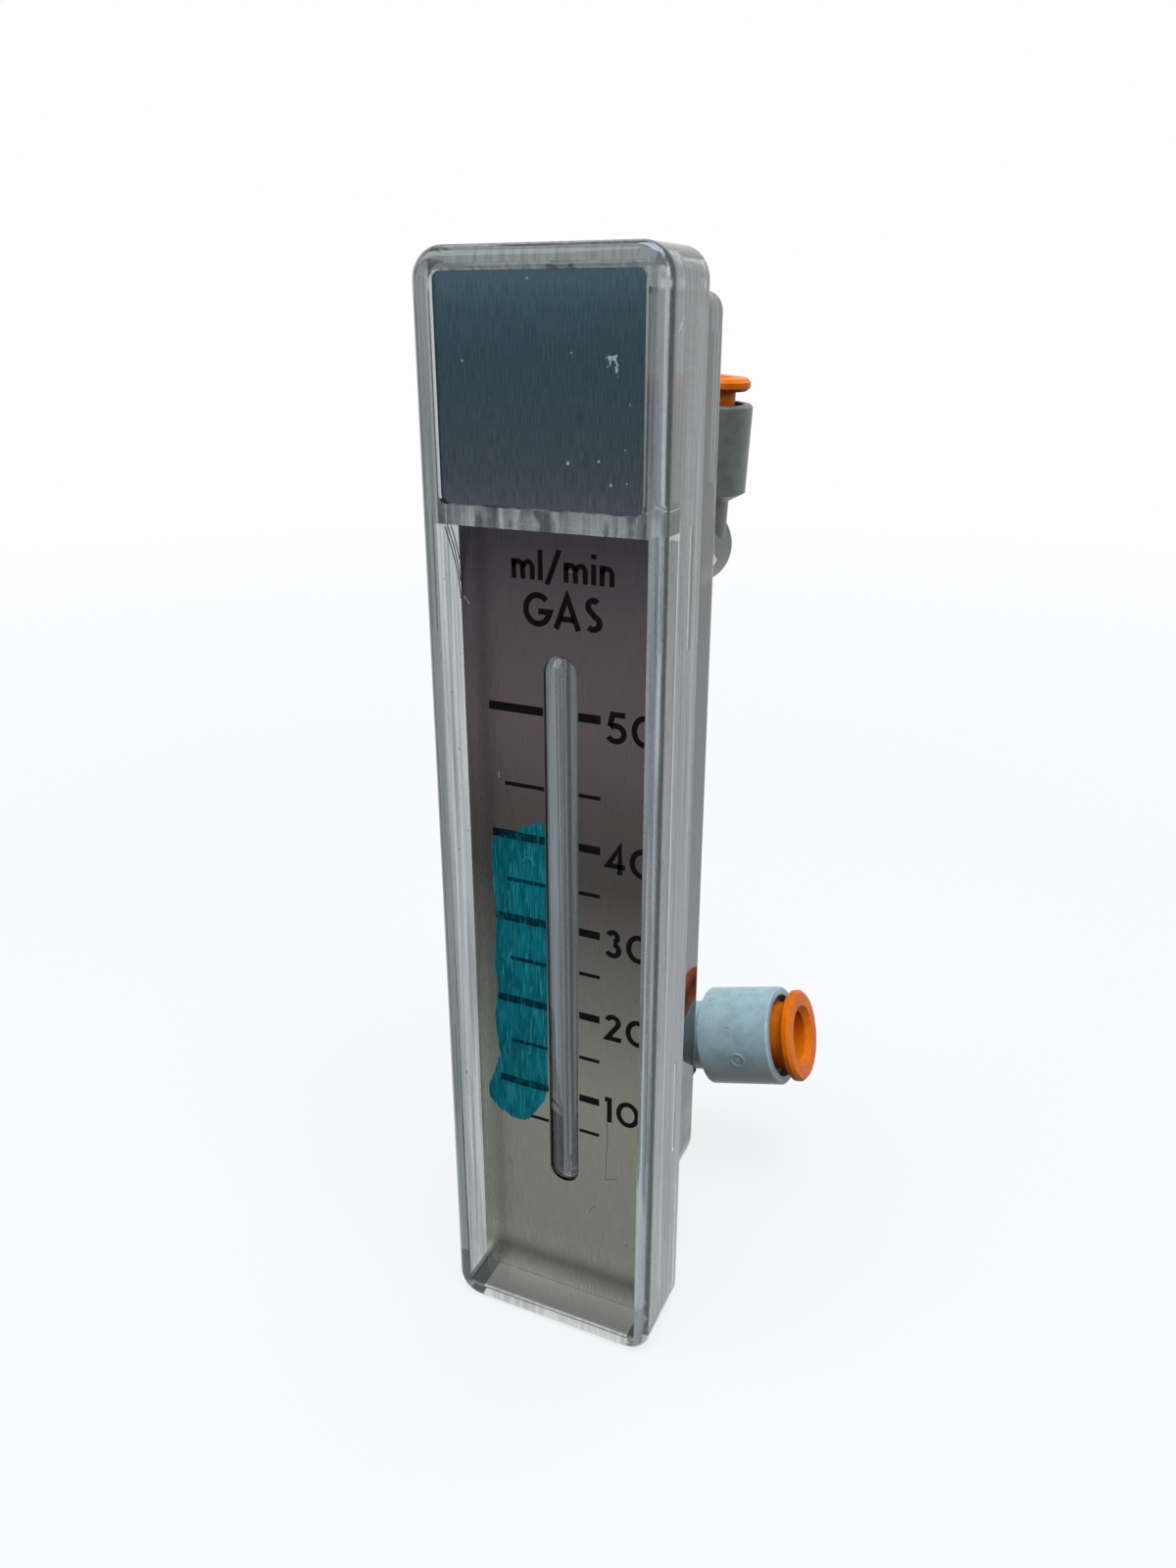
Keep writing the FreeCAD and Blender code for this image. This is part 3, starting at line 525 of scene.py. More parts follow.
CLEAR = BezelPlastic("clear polycarbonate, moulded", "clear_polycarbonate")
CLEAR_BODY = ClearPlastic("clear polycarbonate, thick moulding", "clear_polycarbonate", tint="#C9CFCD",
                          haze_tint="#949B9C", ripple_depth_mm=0.003, haze=0.04, dusty=0.97,
                          depth_colour=(0.24, 0.31, 0.35, 1.0), depth_per_metre=85.0)
CLEAR_ACETAL = ClearPlastic("clear plastic, turned", "clear_acetal", ior=1.48, haze=0.12,
                            ripple=Pattern((1.0, 1.0, 1.0), detail=1.0),
                            flow=Pattern((4.0, 4.0, 9.0), 0.44, 0.62, 3.0))
MILKY_ACETAL = ThreadedAcetal("natural acetal, turned", "clear_acetal")
NAMEPLATE = BrushedAluminium("aluminium, brushed and tinted", "brushed_aluminium", line_contrast=0.3,
                             lines=Pattern((0.1, 0.1, 1.8), 0.3, 0.7, 3.0),
                             tones=((37.5, "#474C52"), (41.0, "#3C454C"), (46.0, "#37434A"),
                                    (51.0, "#31434B"), (55.0, "#364951"), (57.5, "#3F525C")))
SCALE_PLATE = BrushedAluminium("aluminium, brushed and lacquered", "brushed_aluminium", glints_from_mm=35.0,
                               left_edge_painted_light=1.6)
TEAL_PAINT = MarkerPaint("enamel paint, hand brushed", "black_fill")
PAINTED_INK = InkUnderPaint("filled ink under enamel paint", "black_fill")
GREY_RESIN = MouldedResin("glass-filled resin, moulded", "grey_resin")
# painted shade: the outlet's elbow is the same resin as the inlet's, given darker, greener tones for the shade
# that it stands in
SHADED_GREY_RESIN = MouldedResin("glass-filled resin, moulded, in painted shade", "grey_resin", pale="#5B655F",
                                deep="#4A534D", grit="#333A37")
ORANGE_RESIN = MouldedResin("acetal, moulded orange", "orange_resin", pale="#E2720E", deep="#D66006",
                            grit="#C9540A", stain_and_shade="#7A3208", gloss=0.06,
                            specks=Pattern((0.5, 0.5, 0.5), 0.64, 0.76),
                            scuffs=Pattern((1.1, 1.1, 1.1), 0.7, 0.78, 5.0, 1.0))
BROWN_RESIN = MouldedResin("resin, moulded brown", "brown_resin", pale="#574548", deep="#3C2F31",
                           grit="#2A2122")
BRASS = TurnedMetal("brass, turned", "brass")
NICKEL = TurnedMetal("brass, nickel plated", "nickel_plated_brass", bright="#C4C1BA", dark="#A5A29B")
SPRING_STEEL = TurnedMetal("stainless steel, stamped", "stainless_spring", bright="#B8B8B8", dark="#8E8E8E")
# filled ink is flat black and a little broken where it has rubbed; nitrile is near black with a dull bloom
FILLED_INK = Broken("filled ink", "black_fill", "#060506", "#121012",
                    Pattern((0.25, 0.25, 0.6), 0.55, 0.75, 4.0), 0.06)
NITRILE = Broken("nitrile rubber, moulded", "nitrile_rubber", "#171818", "#2B2C2C",
                 Pattern((0.8, 0.8, 0.8), 0.4, 0.7, 4.0))
DARK_GLASS = Broken("black glass, ground", "black_glass", "#0D0D0F", "#151518")
DARK_SCRATCH = Broken("scratch, dark", "clear_polycarbonate", "#2E2D2B", "#5B5A56")
PALE_SCRATCH = Broken("scratch, pale", "clear_polycarbonate", "#E8E8E4", "#C6C8C6")
PAINT_SCRAPE = Broken("enamel paint, scraped thin", "black_fill", "#3F9499", "#1F787E")
PALE_CHIP = Broken("chipped lacquer", "brushed_aluminium", "#A9B4AC", "#7D8A86")
SPECK = Broken("dirt speck", "brushed_aluminium", "#2A2826", "#3C3936")


# ---- mesh tools

def dress(node: str, finish: Finish) -> None:
    """Gives a CAD node its finish.

    Args:
        node: the CAD node's name.
        finish: the finish that it gets.
    """
    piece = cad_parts[node]
    piece.data.materials.clear()
    piece.data.materials.append(finish.material())
    LOG.info("dressed %s in %s", node, finish.name)


def add_piece(name: str, mesh: Mesh, finish: Finish, body: str) -> None:
    """Turns a mesh into a piece that rides on a body.

    Args:
        name: the piece's name.
        mesh: its geometry in the row frame, which is freed here.
        finish: its finish.
        body: the CAD body that it moves with.
    """
    bmesh.ops.recalc_face_normals(mesh, faces=mesh.faces)
    piece = link_mesh(name, mesh, finish.material())
    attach(piece, body)
    LOG.info("made %s in %s", name, finish.name)


def metres(points: list[Point]) -> list[Point]:
    """Turns points from millimetres into metres."""
    return [(across * MM, up * MM) for across, up in points]


def add_quads(mesh: Mesh, rows: list[list[bmesh.types.BMVert]], closed: bool = False) -> None:
    """Joins each row of corners to the next one with four-sided faces.

    Args:
        mesh: the mesh that gets the faces.
        rows: rows with equally many corners.
        closed: whether the last corner of a row joins its first.
    """
    for low, high in zip(rows, rows[1:]):
        for index in range(len(low) if closed else len(low) - 1):
            following = (index + 1) % len(low)
            mesh.faces.new((low[index], low[following], high[following], high[index]))


def add_sheet(mesh: Mesh, outline: list[Point], front: float, back: float,
              facing: Facing = Facing.FRONT) -> None:
    """Adds a thin closed prism that lies flat on a face.

    Args:
        mesh: the mesh that gets the prism.
        outline: its (across, up) corners in order.
        front: depth of its front face.
        back: depth of its back face.
        facing: the face that it lies on.
    """
    near = [mesh.verts.new(facing.point(across, up, front)) for across, up in outline]
    far = [mesh.verts.new(facing.point(across, up, back)) for across, up in outline]
    mesh.faces.new(near)
    mesh.faces.new(far[::-1])
    add_quads(mesh, [near, far], closed=True)


def ribbon(path: list[Point], width: float, closed: bool = False) -> list[tuple[Point, Point]]:
    """Gives a line a width, with its corners mitred.

    Args:
        path: the centre line's points.
        width: the full width.
        closed: whether the last point joins the first.

    Returns:
        For each point, the point on the left edge and the point on the right edge.
    """
    edges = []
    count = len(path)
    for index, (x, z) in enumerate(path):
        before = Vector(path[index - 1]) if closed or index else None
        after = Vector(path[(index + 1) % count]) if closed or index < count - 1 else None
        here = Vector((x, z))
        into = (here - before).normalized() if before else (after - here).normalized()
        out = (after - here).normalized() if after else into
        middle = (into + out).normalized()
        reach = width / 2 / max(0.4, middle.dot(into))
        side = Vector((-middle.y, middle.x)) * reach
        edges.append((tuple(here + side), tuple(here - side)))
    return edges


def add_ribbon(mesh: Mesh, path: list[Point], width: float, front: float, back: float,
               closed: bool = False, facing: Facing = Facing.FRONT) -> None:
    """Adds a flat stroke of a given width and thickness.

    Args:
        mesh: the mesh that gets the stroke.
        path: the (across, up) points of its centre line.
        width: its width.
        front: depth of its front face.
        back: depth of its back face.
        closed: whether it is a ring.
        facing: the face that it lies on.
    """
    rows = [[mesh.verts.new(facing.point(*left, front)), mesh.verts.new(facing.point(*right, front)),
             mesh.verts.new(facing.point(*right, back)), mesh.verts.new(facing.point(*left, back))]
            for left, right in ribbon(path, width, closed)]
    if closed:
        rows.append(rows[0])
    else:
        mesh.faces.new(rows[0][::-1])
        mesh.faces.new(rows[-1])
    add_quads(mesh, rows, closed=True)


def edge_at(edge: tuple[Point, ...], level: float) -> float:
    """Reads a bent edge at a height.

    Args:
        edge: its (height, place) corners, from the lowest up.
        level: the height.

    Returns:
        The place there, with straight runs between the corners.
    """
    for (low, start), (high, end) in zip(edge, edge[1:]):
        if level <= high:
            return start + (end - start) * max(0.0, level - low) / (high - low)
    return edge[-1][1]


def add_film(mesh: Mesh, front: list[list[Vector]], back_level: float) -> None:
    """Adds a thin closed film whose front is a grid of points and whose back is flat, facing -Y.

    Args:
        mesh: the mesh that gets the film.
        front: rows of points across its front.
        back_level: Y of its back.
    """
    near = [[mesh.verts.new(point) for point in row] for row in front]
    far = [[mesh.verts.new((point.x, back_level, point.z)) for point in row] for row in front]
    add_quads(mesh, near)
    add_quads(mesh, far)
    for end in (0, -1):
        add_quads(mesh, [near[end], far[end]])
        add_quads(mesh, [[row[end] for row in grid] for grid in (near, far)])


def arc(centre: Point, radii: Point, start_deg: float, end_deg: float, steps: int = 14) -> list[Point]:
    """Points along part of an ellipse.

    Args:
        centre: its centre.
        radii: its half axes along x and z.
        start_deg: start angle, from +x towards +z.
        end_deg: end angle.
        steps: number of straight steps.

    Returns:
        The points, both ends included.
    """
    angles = [math.radians(start_deg + (end_deg - start_deg) * i / steps) for i in range(steps + 1)]
    return [(centre[0] + radii[0] * math.cos(a), centre[1] + radii[1] * math.sin(a)) for a in angles]


# ---- lettering

@dataclass
class Lettering:
    """Plain round-and-straight lettering, drawn as strokes one unit high from the baseline.

    Args:
        waist: height of the small letters.
        stroke: stroke width as a share of the height.
    """

    waist: float = 0.66
    stroke: float = 0.175

    def glyph(self, sign: str) -> tuple[float, list[list[Point]]]:
        """Gives a sign's width and strokes.

        Args:
            sign: one character.

        Returns:
            Its width and the centre lines of its strokes; a ring repeats its first point.
        """
        half = self.stroke / 2
        top = 1 - half
        hump = self.waist - half
        shapes = {
            "0": (0.84, [arc((0.42, 0.5), (0.42 - half, 0.5 - half), 0, 360, 36)]),
            "1": (0.3, [[(0.2, 0), (0.2, top), (0.03, top)]]),
            "2": (0.6, [arc((0.29, 0.71), (0.29 - half, 0.29 - half), 165, -35, 16)
                        + [(0.1, half), (0.6, half)]]),
            "3": (0.58, [arc((0.27, 0.75), (0.25 - half, 0.25 - half), 160, -75, 14),
                         arc((0.27, 0.29), (0.3 - half, 0.29 - half), 85, -155, 16)]),
            "4": (0.66, [[(0.48, 0), (0.48, 0.93), (0.08, 0.27), (0.66, 0.27)]]),
            "5": (0.66, [[(0.6, top), (0.2, top), (0.12, 0.53)],
                         arc((0.3, 0.33), (0.36 - half, 0.33 - half), 128, -150, 18)]),
            "l": (self.stroke, [[(half, 0), (half, 1)]]),
            "i": (self.stroke, [[(half, 0), (half, self.waist)], [(half, 0.84), (half, 1)]]),
            "/": (0.52, [[(0.03, -0.12), (0.49, 1.04)]]),
            "n": (0.52, [[(half, 0), (half, self.waist)],
                         arc((0.26, hump - 0.19), (0.26 - half, 0.19), 180, 0, 12) + [(0.52 - half, 0)]]),
            "m": (0.86, [[(half, 0), (half, self.waist)],
                         arc((0.248, hump - 0.18), (0.248 - half, 0.18), 180, 0, 12) + [(0.43, 0)],
                         arc((0.612, hump - 0.18), (0.248 - half, 0.18), 180, 0, 12) + [(0.86 - half, 0)]]),
            "A": (0.82, [[(0.06, 0), (0.41, 0.95), (0.76, 0)], [(0.2, 0.3), (0.62, 0.3)]]),
            "G": (0.86, [arc((0.46, 0.5), (0.46 - half, 0.5 - half), 42, 335, 26)
                         + [(0.85, 0.45), (0.48, 0.45)]]),
            "S": (0.56, [arc((0.28, 0.74), (0.25 - half, 0.26 - half), 40, 245, 12)
                         + arc((0.28, 0.27), (0.28 - half, 0.27 - half), 75, -140, 14)]),
        }
        return shapes[sign]

    def write(self, mesh: Mesh, text: str, left: float, baseline: float, size: float,
              front: float, back: float, spacing: float = 0.12) -> None:
        """Draws a line of text.

        Args:
            mesh: the mesh that gets the strokes.
            text: what to write.
            left: X of its left end.
            baseline: Z of its baseline.
            size: height of a capital.
            front: Y of the ink's face.
            back: Y of the ink's back.
            spacing: gap between signs as a share of the size.
        """
        pen = left
        for sign in text:
            width, strokes = self.glyph(sign)
            for stroke in strokes:
                closed = math.dist(stroke[0], stroke[-1]) < 1e-6
                points = stroke[:-1] if closed else stroke
                path = [(pen + x * size, baseline + z * size) for x, z in points]
                add_ribbon(mesh, path, self.stroke * size, front, back, closed)
            pen += (width + spacing) * size

    def width(self, text: str, size: float, spacing: float = 0.12) -> float:
        """Gives the length of a line of text at a size."""
        return size * (sum(self.glyph(sign)[0] + spacing for sign in text) - spacing)


# ---- the meter

@dataclass
class Meter:
    """The clear meter with its plates, print, paint mark and wear.

    Args:
        number_height: height of the scale's numbers.
        number_left: where the numbers start, to the right of the slot.
        number_drop: how far the middle of a number lies below its mark.
        number_spacing: gap between a number's signs as a share of their height.
        ink_thickness: thickness of the print.
        left_of_slot: X that a mark on the left has to start left of.
        unit_middle: X of the middle of both lines of the unit.
        unit_height: height of the upper line's capitals.
        unit_baseline: Z of the upper line.
        gas_height: height of the lower line's capitals.
        gas_baseline: Z of the lower line.
        wear_thickness: how far scratches stand off their face.
        flake_thickness: how far chips and specks stand off their face.
        slot_clear: how far specks stay from the middle of the slot, in millimetres.
    """

    number_height: float = 3.4 * MM
    number_left: float = 5.1 * MM
    number_drop: float = 0.6 * MM
    number_spacing: float = 0.15
    ink_thickness: float = 0.02 * MM
    left_of_slot: float = -1.9 * MM
    unit_middle: float = 0.3 * MM
    unit_height: float = 3.0 * MM
    unit_baseline: float = 30.2 * MM
    gas_height: float = 3.5 * MM
    gas_baseline: float = 25.5 * MM
    wear_thickness: float = 0.01 * MM
    flake_thickness: float = 0.015 * MM
    slot_clear: float = 2.6
    speck_count: int = 26
    wall_speck_count: int = 9
    # edges of the paint mark as (height, place) in millimetres, from the foot up
    paint_left: tuple[Point, ...] = (
        (-35.1, -5.6), (-34.7, -8.2), (-33.1, -9.9), (-31.6, -10.0), (-29.7, -9.3), (-26.7, -8.3),
        (-21.9, -8.8), (-17.5, -8.3), (-14.4, -8.6), (-8.4, -8.2), (-1.9, -8.6), (0.7, -8.5), (1.5, -8.1),
        (2.4, -5.3), (3.3, -4.5), (4.0, -2.8))
    paint_right: tuple[Point, ...] = (
        (-35.1, -5.1), (-33.5, -3.8), (-31.4, -2.5), (-29.2, -2.1), (-12.0, -1.95), (3.6, -1.95), (4.0, -2.3))
    # mean thickness of the brushed paint, in millimetres, and how many facets its film has up and across
    paint_thickness: float = 0.035
    paint_facets: tuple[int, int] = (132, 30)
    # waves of the paint's left edge: reach and length in millimetres, and where each starts in the noise
    edge_waves: tuple[Place, ...] = ((0.14, 0.9, 3.0), (0.07, 0.3, 7.0))
    # the ends of the strokes are ragged by this reach and width, over this length
    end_reach: float = 0.9
    end_width: float = 0.4
    end_length: float = 2.0
    # brush strokes in the film: share, width and length in millimetres, and where each starts in the noise
    strokes: tuple[tuple[float, float, float, float], ...] = ((1.0, 0.35, 6.0, 0.0), (0.7, 1.3, 4.0, 5.0))
    stroke_relief: float = 0.6
    # share of the thickness left at the paint's edges, and how fast it grows across the mark
    rim_share: float = 0.3
    rim_growth: float = 8.0
    # the spot with hardly any paint: its place, radius and depth, in millimetres
    bare_spot: Point = (-5.5, -30.7)
    bare_radius: float = 0.55
    bare_depth: float = 0.12
    # the least thickness, which lies just under the plate's face
    missing: float = -0.02
    # how far the marks and the scrapes stand before the plate, in mean thicknesses of the paint
    mark_lift: float = 2.6
    scrape_lift: float = 2.4
    # how far the marks end inside the paint's left and right edges, and a dark drop on it, in millimetres
    mark_inset: Point = (0.25, 0.05)
    drop: Point = (-5.1, -29.9)
    drop_radii: Point = (0.22, 0.3)
    lettering: Lettering = field(default_factory=Lettering)
    finishes: dict[str, Finish] = field(default_factory=lambda: {
        "bezel": CLEAR, "meter_body": CLEAR_BODY, "nameplate": NAMEPLATE, "scale_plate": SCALE_PLATE,
        "scale_graduations": FILLED_INK, "float_ball": DARK_GLASS, "lower_float_stop": CLEAR_ACETAL,
        "upper_float_stop": CLEAR_ACETAL, "top_plug": MILKY_ACETAL, "plug_o_ring": NITRILE})

    def build(self) -> None:
        """Dresses the CAD nodes and adds the print, the paint and the wear."""
        for node, finish in self.finishes.items():
            dress(node, finish)
        self.plate_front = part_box("scale_plate")[0].y
        self.name_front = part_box("nameplate")[0].y
        # the window's walls stand a ledge's width inside the plate's edges
        self.wall_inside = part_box("scale_plate")[0].x + 0.18 * MM
        self.add_print()
        self.add_paint()
        self.add_marks_under_paint()
        self.add_scrapes()
        self.add_scratches()
        self.add_chips()

    @staticmethod
    def marks(reach: float) -> list[tuple[float, float, float]]:
        """Reads the graduations left of the slot from their CAD node.

        Args:
            reach: X that a mark has to start left of.

        Returns:
            Each mark's lower edge, upper edge and left end, from the lowest up.
        """
        ends: dict[float, float] = {}
        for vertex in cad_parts["scale_graduations"].data.vertices:
            if vertex.co.x < reach:
                level = round(vertex.co.z, 6)
                ends[level] = min(vertex.co.x, ends.get(level, 0.0))
        levels = sorted(ends)
        return [(low, high, ends[low]) for low, high in zip(levels[::2], levels[1::2])]

    def add_print(self) -> None:
        """Prints 10 to 50 beside the heavy marks, and a plain unit in two centred lines above the slot."""
        ink, back = self.plate_front - self.ink_thickness, self.plate_front - LIFT
        mesh = bmesh.new()
        heavy = self.marks(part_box("scale_graduations")[0].x + 0.1 * MM)
        for index, (low, high, _) in enumerate(heavy):
            baseline = (low + high) / 2 - self.number_drop - self.number_height / 2
            self.lettering.write(mesh, str(10 * (index + 1)), self.number_left, baseline, self.number_height,
                                 ink, back, self.number_spacing)
        add_piece("scale_numbers", mesh, FILLED_INK, "meter")
        mesh = bmesh.new()
        for text, baseline, size in (("ml/min", self.unit_baseline, self.unit_height),
                                     ("GAS", self.gas_baseline, self.gas_height)):
            left = self.unit_middle - self.lettering.width(text, size) / 2
            self.lettering.write(mesh, text, left, baseline, size, ink, back)
        add_piece("scale_unit", mesh, FILLED_INK, "meter")

    def paint_at(self, x: float, z: float, share: float) -> float:
        """Gives the thickness of the paint at a point, all in millimetres.

        Args:
            x: the point's place along X.
            z: its height.
            share: how far across the paint mark it lies, from 0 to 1.

        Returns:
            The thickness.
        """
        relief = sum(part * noise.noise((x / wide, z / long, start))
                     for part, wide, long, start in self.strokes)
        rim = min(1.0, self.rim_share + self.rim_growth * min(share, 1 - share))
        thick = self.paint_thickness * (1.0 + self.stroke_relief * relief) * rim
        thick -= self.bare_depth * max(0.0, 1.0 - math.dist((x, z), self.bare_spot) / self.bare_radius)
        return max(thick, self.missing)

    def add_paint(self) -> None:
        """Brushes the paint mark along the left of the slot: upright strokes, ragged ends and a bare spot."""
        rows, columns = self.paint_facets
        foot, top = self.paint_left[0][0], self.paint_left[-1][0]
        back = self.plate_front - LIFT
        front = []
        for row in range(rows + 1):
            level = foot + (top - foot) * row / rows
            left, right = edge_at(self.paint_left, level), edge_at(self.paint_right, level)
            left += sum(reach * noise.noise((level / length, start, 0.0))
                        for reach, length, start in self.edge_waves)
            end = self.end_reach * max(0.0, 1.0 - min(level - foot, top - level) / self.end_length)
            line = []
            for column in range(columns + 1):
                share = column / columns
                x = left + (right - left) * share
                z = level + end * noise.noise((x / self.end_width, 11.0, math.copysign(1.0, level)))
                line.append(Vector((x * MM, back - self.paint_at(x, z, share) * MM, z * MM)))
            front.append(line)
        mesh = bmesh.new()
        add_film(mesh, front, back)
        add_piece("paint_mark", mesh, TEAL_PAINT, "meter")

    def add_marks_under_paint(self) -> None:
        """Darkens the thin paint where it crosses the graduations, and leaves one dark drop."""
        mesh = bmesh.new()
        front = self.plate_front - self.mark_lift * self.paint_thickness * MM
        for low, high, end in self.marks(self.left_of_slot):
            if not self.paint_left[2][0] < low / MM < self.paint_left[-3][0]:
                continue
            left = max(end, (edge_at(self.paint_left, low / MM) + self.mark_inset[0]) * MM)
            right = (edge_at(self.paint_right, low / MM) - self.mark_inset[1]) * MM
            add_sheet(mesh, [(left, low), (right, low), (right, high), (left, high)], front,
                      front + 0.01 * MM)
        (x, z), (wide, high) = self.drop, self.drop_radii
        drop = [(x + wide * math.cos(turn), z + high * math.sin(turn))
                for turn in (0.2, 1.1, 2.3, 3.0, 4.2, 5.4)]
        add_sheet(mesh, metres(drop), front - 0.01 * MM, front - 0.002 * MM)
        add_piece("marks_under_paint", mesh, PAINTED_INK, "meter")

    def add_scrapes(self) -> None:
        """Adds the pale lines where the wet paint was scraped thin."""
        mesh = bmesh.new()
        level = self.plate_front - self.scrape_lift * self.paint_thickness * MM
        for path in ([(-6.5, -4.7), (-6.45, -5.9), (-6.3, -7.1)],
                     [(-4.0, -20.5), (-4.15, -23.0), (-4.4, -25.6)],
                     [(-4.9, -0.9), (-4.3, -0.2), (-3.6, -0.3), (-3.3, -1.0)]):
            add_ribbon(mesh, metres(path), 0.09 * MM, level, level + 0.02 * MM)
        add_piece("paint_scrapes", mesh, PAINT_SCRAPE, "meter")

    def scratched(self, face: float, width_mm: float, paths: list[list[Point]],
                  facing: Facing = Facing.FRONT) -> Mesh:
        """Makes fine scratches on a face.

        Args:
            face: depth of the face.
            width_mm: their width.
            paths: the (across, up) points of each one, in millimetres.
            facing: which way the face looks; a side face looks to +X.

        Returns:
            Their mesh.
        """
        mesh = bmesh.new()
        outward = 1 if facing is Facing.SIDE else -1
        back = face + outward * LIFT
        front = back + outward * self.wear_thickness
        for path in paths:
            add_ribbon(mesh, metres(path), width_mm * MM, front, back, facing=facing)
        return mesh

    def add_scratches(self) -> None:
        """Adds the fine scratches on the plate and on the bezel's walls."""
        plate = self.scratched(self.plate_front, 0.07, [
            [(5.5, -29.0), (5.55, -34.0), (5.35, -40.3), (6.1, -39.9), (6.8, -39.8)],
            [(-7.6, -41.5), (-7.0, -42.3)], [(3.2, -46.0), (3.6, -45.1), (4.1, -44.6)]])
        add_piece("plate_scratch", plate, DARK_SCRATCH, "meter")
        pale = self.scratched(self.plate_front, 0.06, [
            [(-10.9, 27.9), (-10.2, 27.1)], [(-7.4, 9.2), (-7.3, 8.6)], [(1.0, 31.4), (1.9, 31.2)]])
        add_piece("plate_pale_scratches", pale, PALE_SCRATCH, "meter")
        # long scratches inside the left wall, which run back and down to the plate
        inner = self.scratched(self.wall_inside, 0.16, [
            [(-7.6, 35.2), (-6.5, 32.9), (-5.6, 30.6), (-5.1, 27.6)],
            [(-7.1, 35.2), (-6.1, 33.1), (-5.4, 31.1), (-5.1, 29.4)],
            [(-6.5, 35.2), (-5.7, 33.5), (-5.1, 31.6)]], Facing.SIDE)
        self.add_wall_specks(inner)
        add_piece("wall_scratches", inner, DARK_SCRATCH, "meter")
        outer = self.scratched(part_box("bezel")[1].x, 0.07, [
            [(-7.55, 53.1), (-7.0, 53.5), (-6.55, 53.8)],
            [(-7.2, 53.55), (-6.6, 54.0), (-6.1, 54.4)]], Facing.SIDE)
        add_piece("side_scratches", outer, PALE_SCRATCH, "meter")

    def add_wall_specks(self, mesh: Mesh) -> None:
        """Adds ragged specks of dirt inside the left wall.

        Args:
            mesh: the mesh that gets them.
        """
        wall = self.wall_inside + LIFT
        chance = random.Random(5)
        for _ in range(self.wall_speck_count):
            y, z, size = chance.uniform(-8.8, -5.4), chance.uniform(-52, 34), chance.uniform(0.06, 0.13)
            turns = [math.tau * step / 7 for step in range(7)]
            speck = [(y + size * math.cos(a) * chance.uniform(0.6, 1.3),
                      z + size * math.sin(a) * chance.uniform(0.6, 1.6)) for a in turns]
            add_sheet(mesh, metres(speck), wall + 0.012 * MM, wall, Facing.SIDE)

    def add_chips(self) -> None:
        """Adds the chipped lacquer and specks on the nameplate and the scale plate."""
        chance = random.Random(11)
        chips = bmesh.new()
        chip = [(6.8, 51.1), (7.0, 51.2), (7.2, 51.15), (7.8, 51.3), (7.65, 50.85), (7.8, 50.55), (7.9, 50.4),
                (7.75, 50.25), (7.85, 50.1), (7.75, 49.7), (7.55, 49.95), (7.6, 50.1), (7.45, 50.25),
                (7.7, 50.4), (7.45, 50.8), (7.25, 50.85), (7.1, 50.3), (6.95, 50.75)]
        front = self.name_front - LIFT
        add_sheet(chips, metres(chip), front - 0.012 * MM, front)
        for spot in ((6.68, 51.0, 0.07), (6.87, 50.3, 0.08), (7.8, 49.45, 0.07), (3.0, 42.0, 0.2),
                     (6.0, 42.3, 0.15), (7.2, 40.3, 0.16), (-7.6, 50.6, 0.12), (3.4, 51.4, 0.12),
                     (8.6, 43.4, 0.1), (-0.8, 57.4, 0.15), (9.0, 47.2, 0.1), (8.8, 40.5, 0.1)):
            self.add_flake(chips, chance, *spot, front)
        add_piece("nameplate_chips", chips, PALE_CHIP, "meter")
        specks = bmesh.new()
        for spot in ((-6.7, 39.1, 0.13), (-9.3, 53.0, 0.12)):
            self.add_flake(specks, chance, *spot, front)
        for _ in range(self.speck_count):
            x, z = chance.uniform(-10, 10), chance.uniform(-57, 34)
            if abs(x) > self.slot_clear:
                self.add_flake(specks, chance, x, z, chance.uniform(0.05, 0.1), self.plate_front - 2 * LIFT)
        add_piece("plate_specks", specks, SPECK, "meter")

    def add_flake(self, mesh: Mesh, chance: random.Random, x: float, z: float, size: float,
                  front: float) -> None:
        """Adds one small ragged flake on a plate.

        Args:
            mesh: the mesh that gets the flake.
            chance: the seeded source of its raggedness.
            x: its middle along X, in millimetres.
            z: its middle along Z, in millimetres.
            size: its rough radius, in millimetres.
            front: Y of the plate's face.
        """
        corners = []
        for index in range(9):
            angle = math.tau * index / 9
            reach = size * chance.uniform(0.45, 1.2)
            corners.append((x + reach * math.cos(angle), z + reach * math.sin(angle)))
        add_sheet(mesh, metres(corners), front - self.flake_thickness, front)


# ---- fittings

@dataclass
class Fitting:
    """One push-in elbow fitting.

    Args:
        port: "inlet" or "outlet".
        elbow: finish of the elbow; the outlet's is the same resin as the inlet's in darker tones, which are
            painted shade.
    """

    port: str
    elbow: Finish
    finishes: dict[str, Finish] = field(default_factory=lambda: {
        "insert": BRASS, "stud": NICKEL, "stud_o_ring": NITRILE, "tube_seal": NITRILE,
        "grip_ring": SPRING_STEEL, "guide_ring": BROWN_RESIN, "release_collar": ORANGE_RESIN})

    def build(self) -> None:
        """Dresses the fitting's CAD nodes."""
        for piece, finish in {**self.finishes, "elbow_body": self.elbow}.items():
            dress(f"{self.port}_{piece}", finish)


# ---- the studio

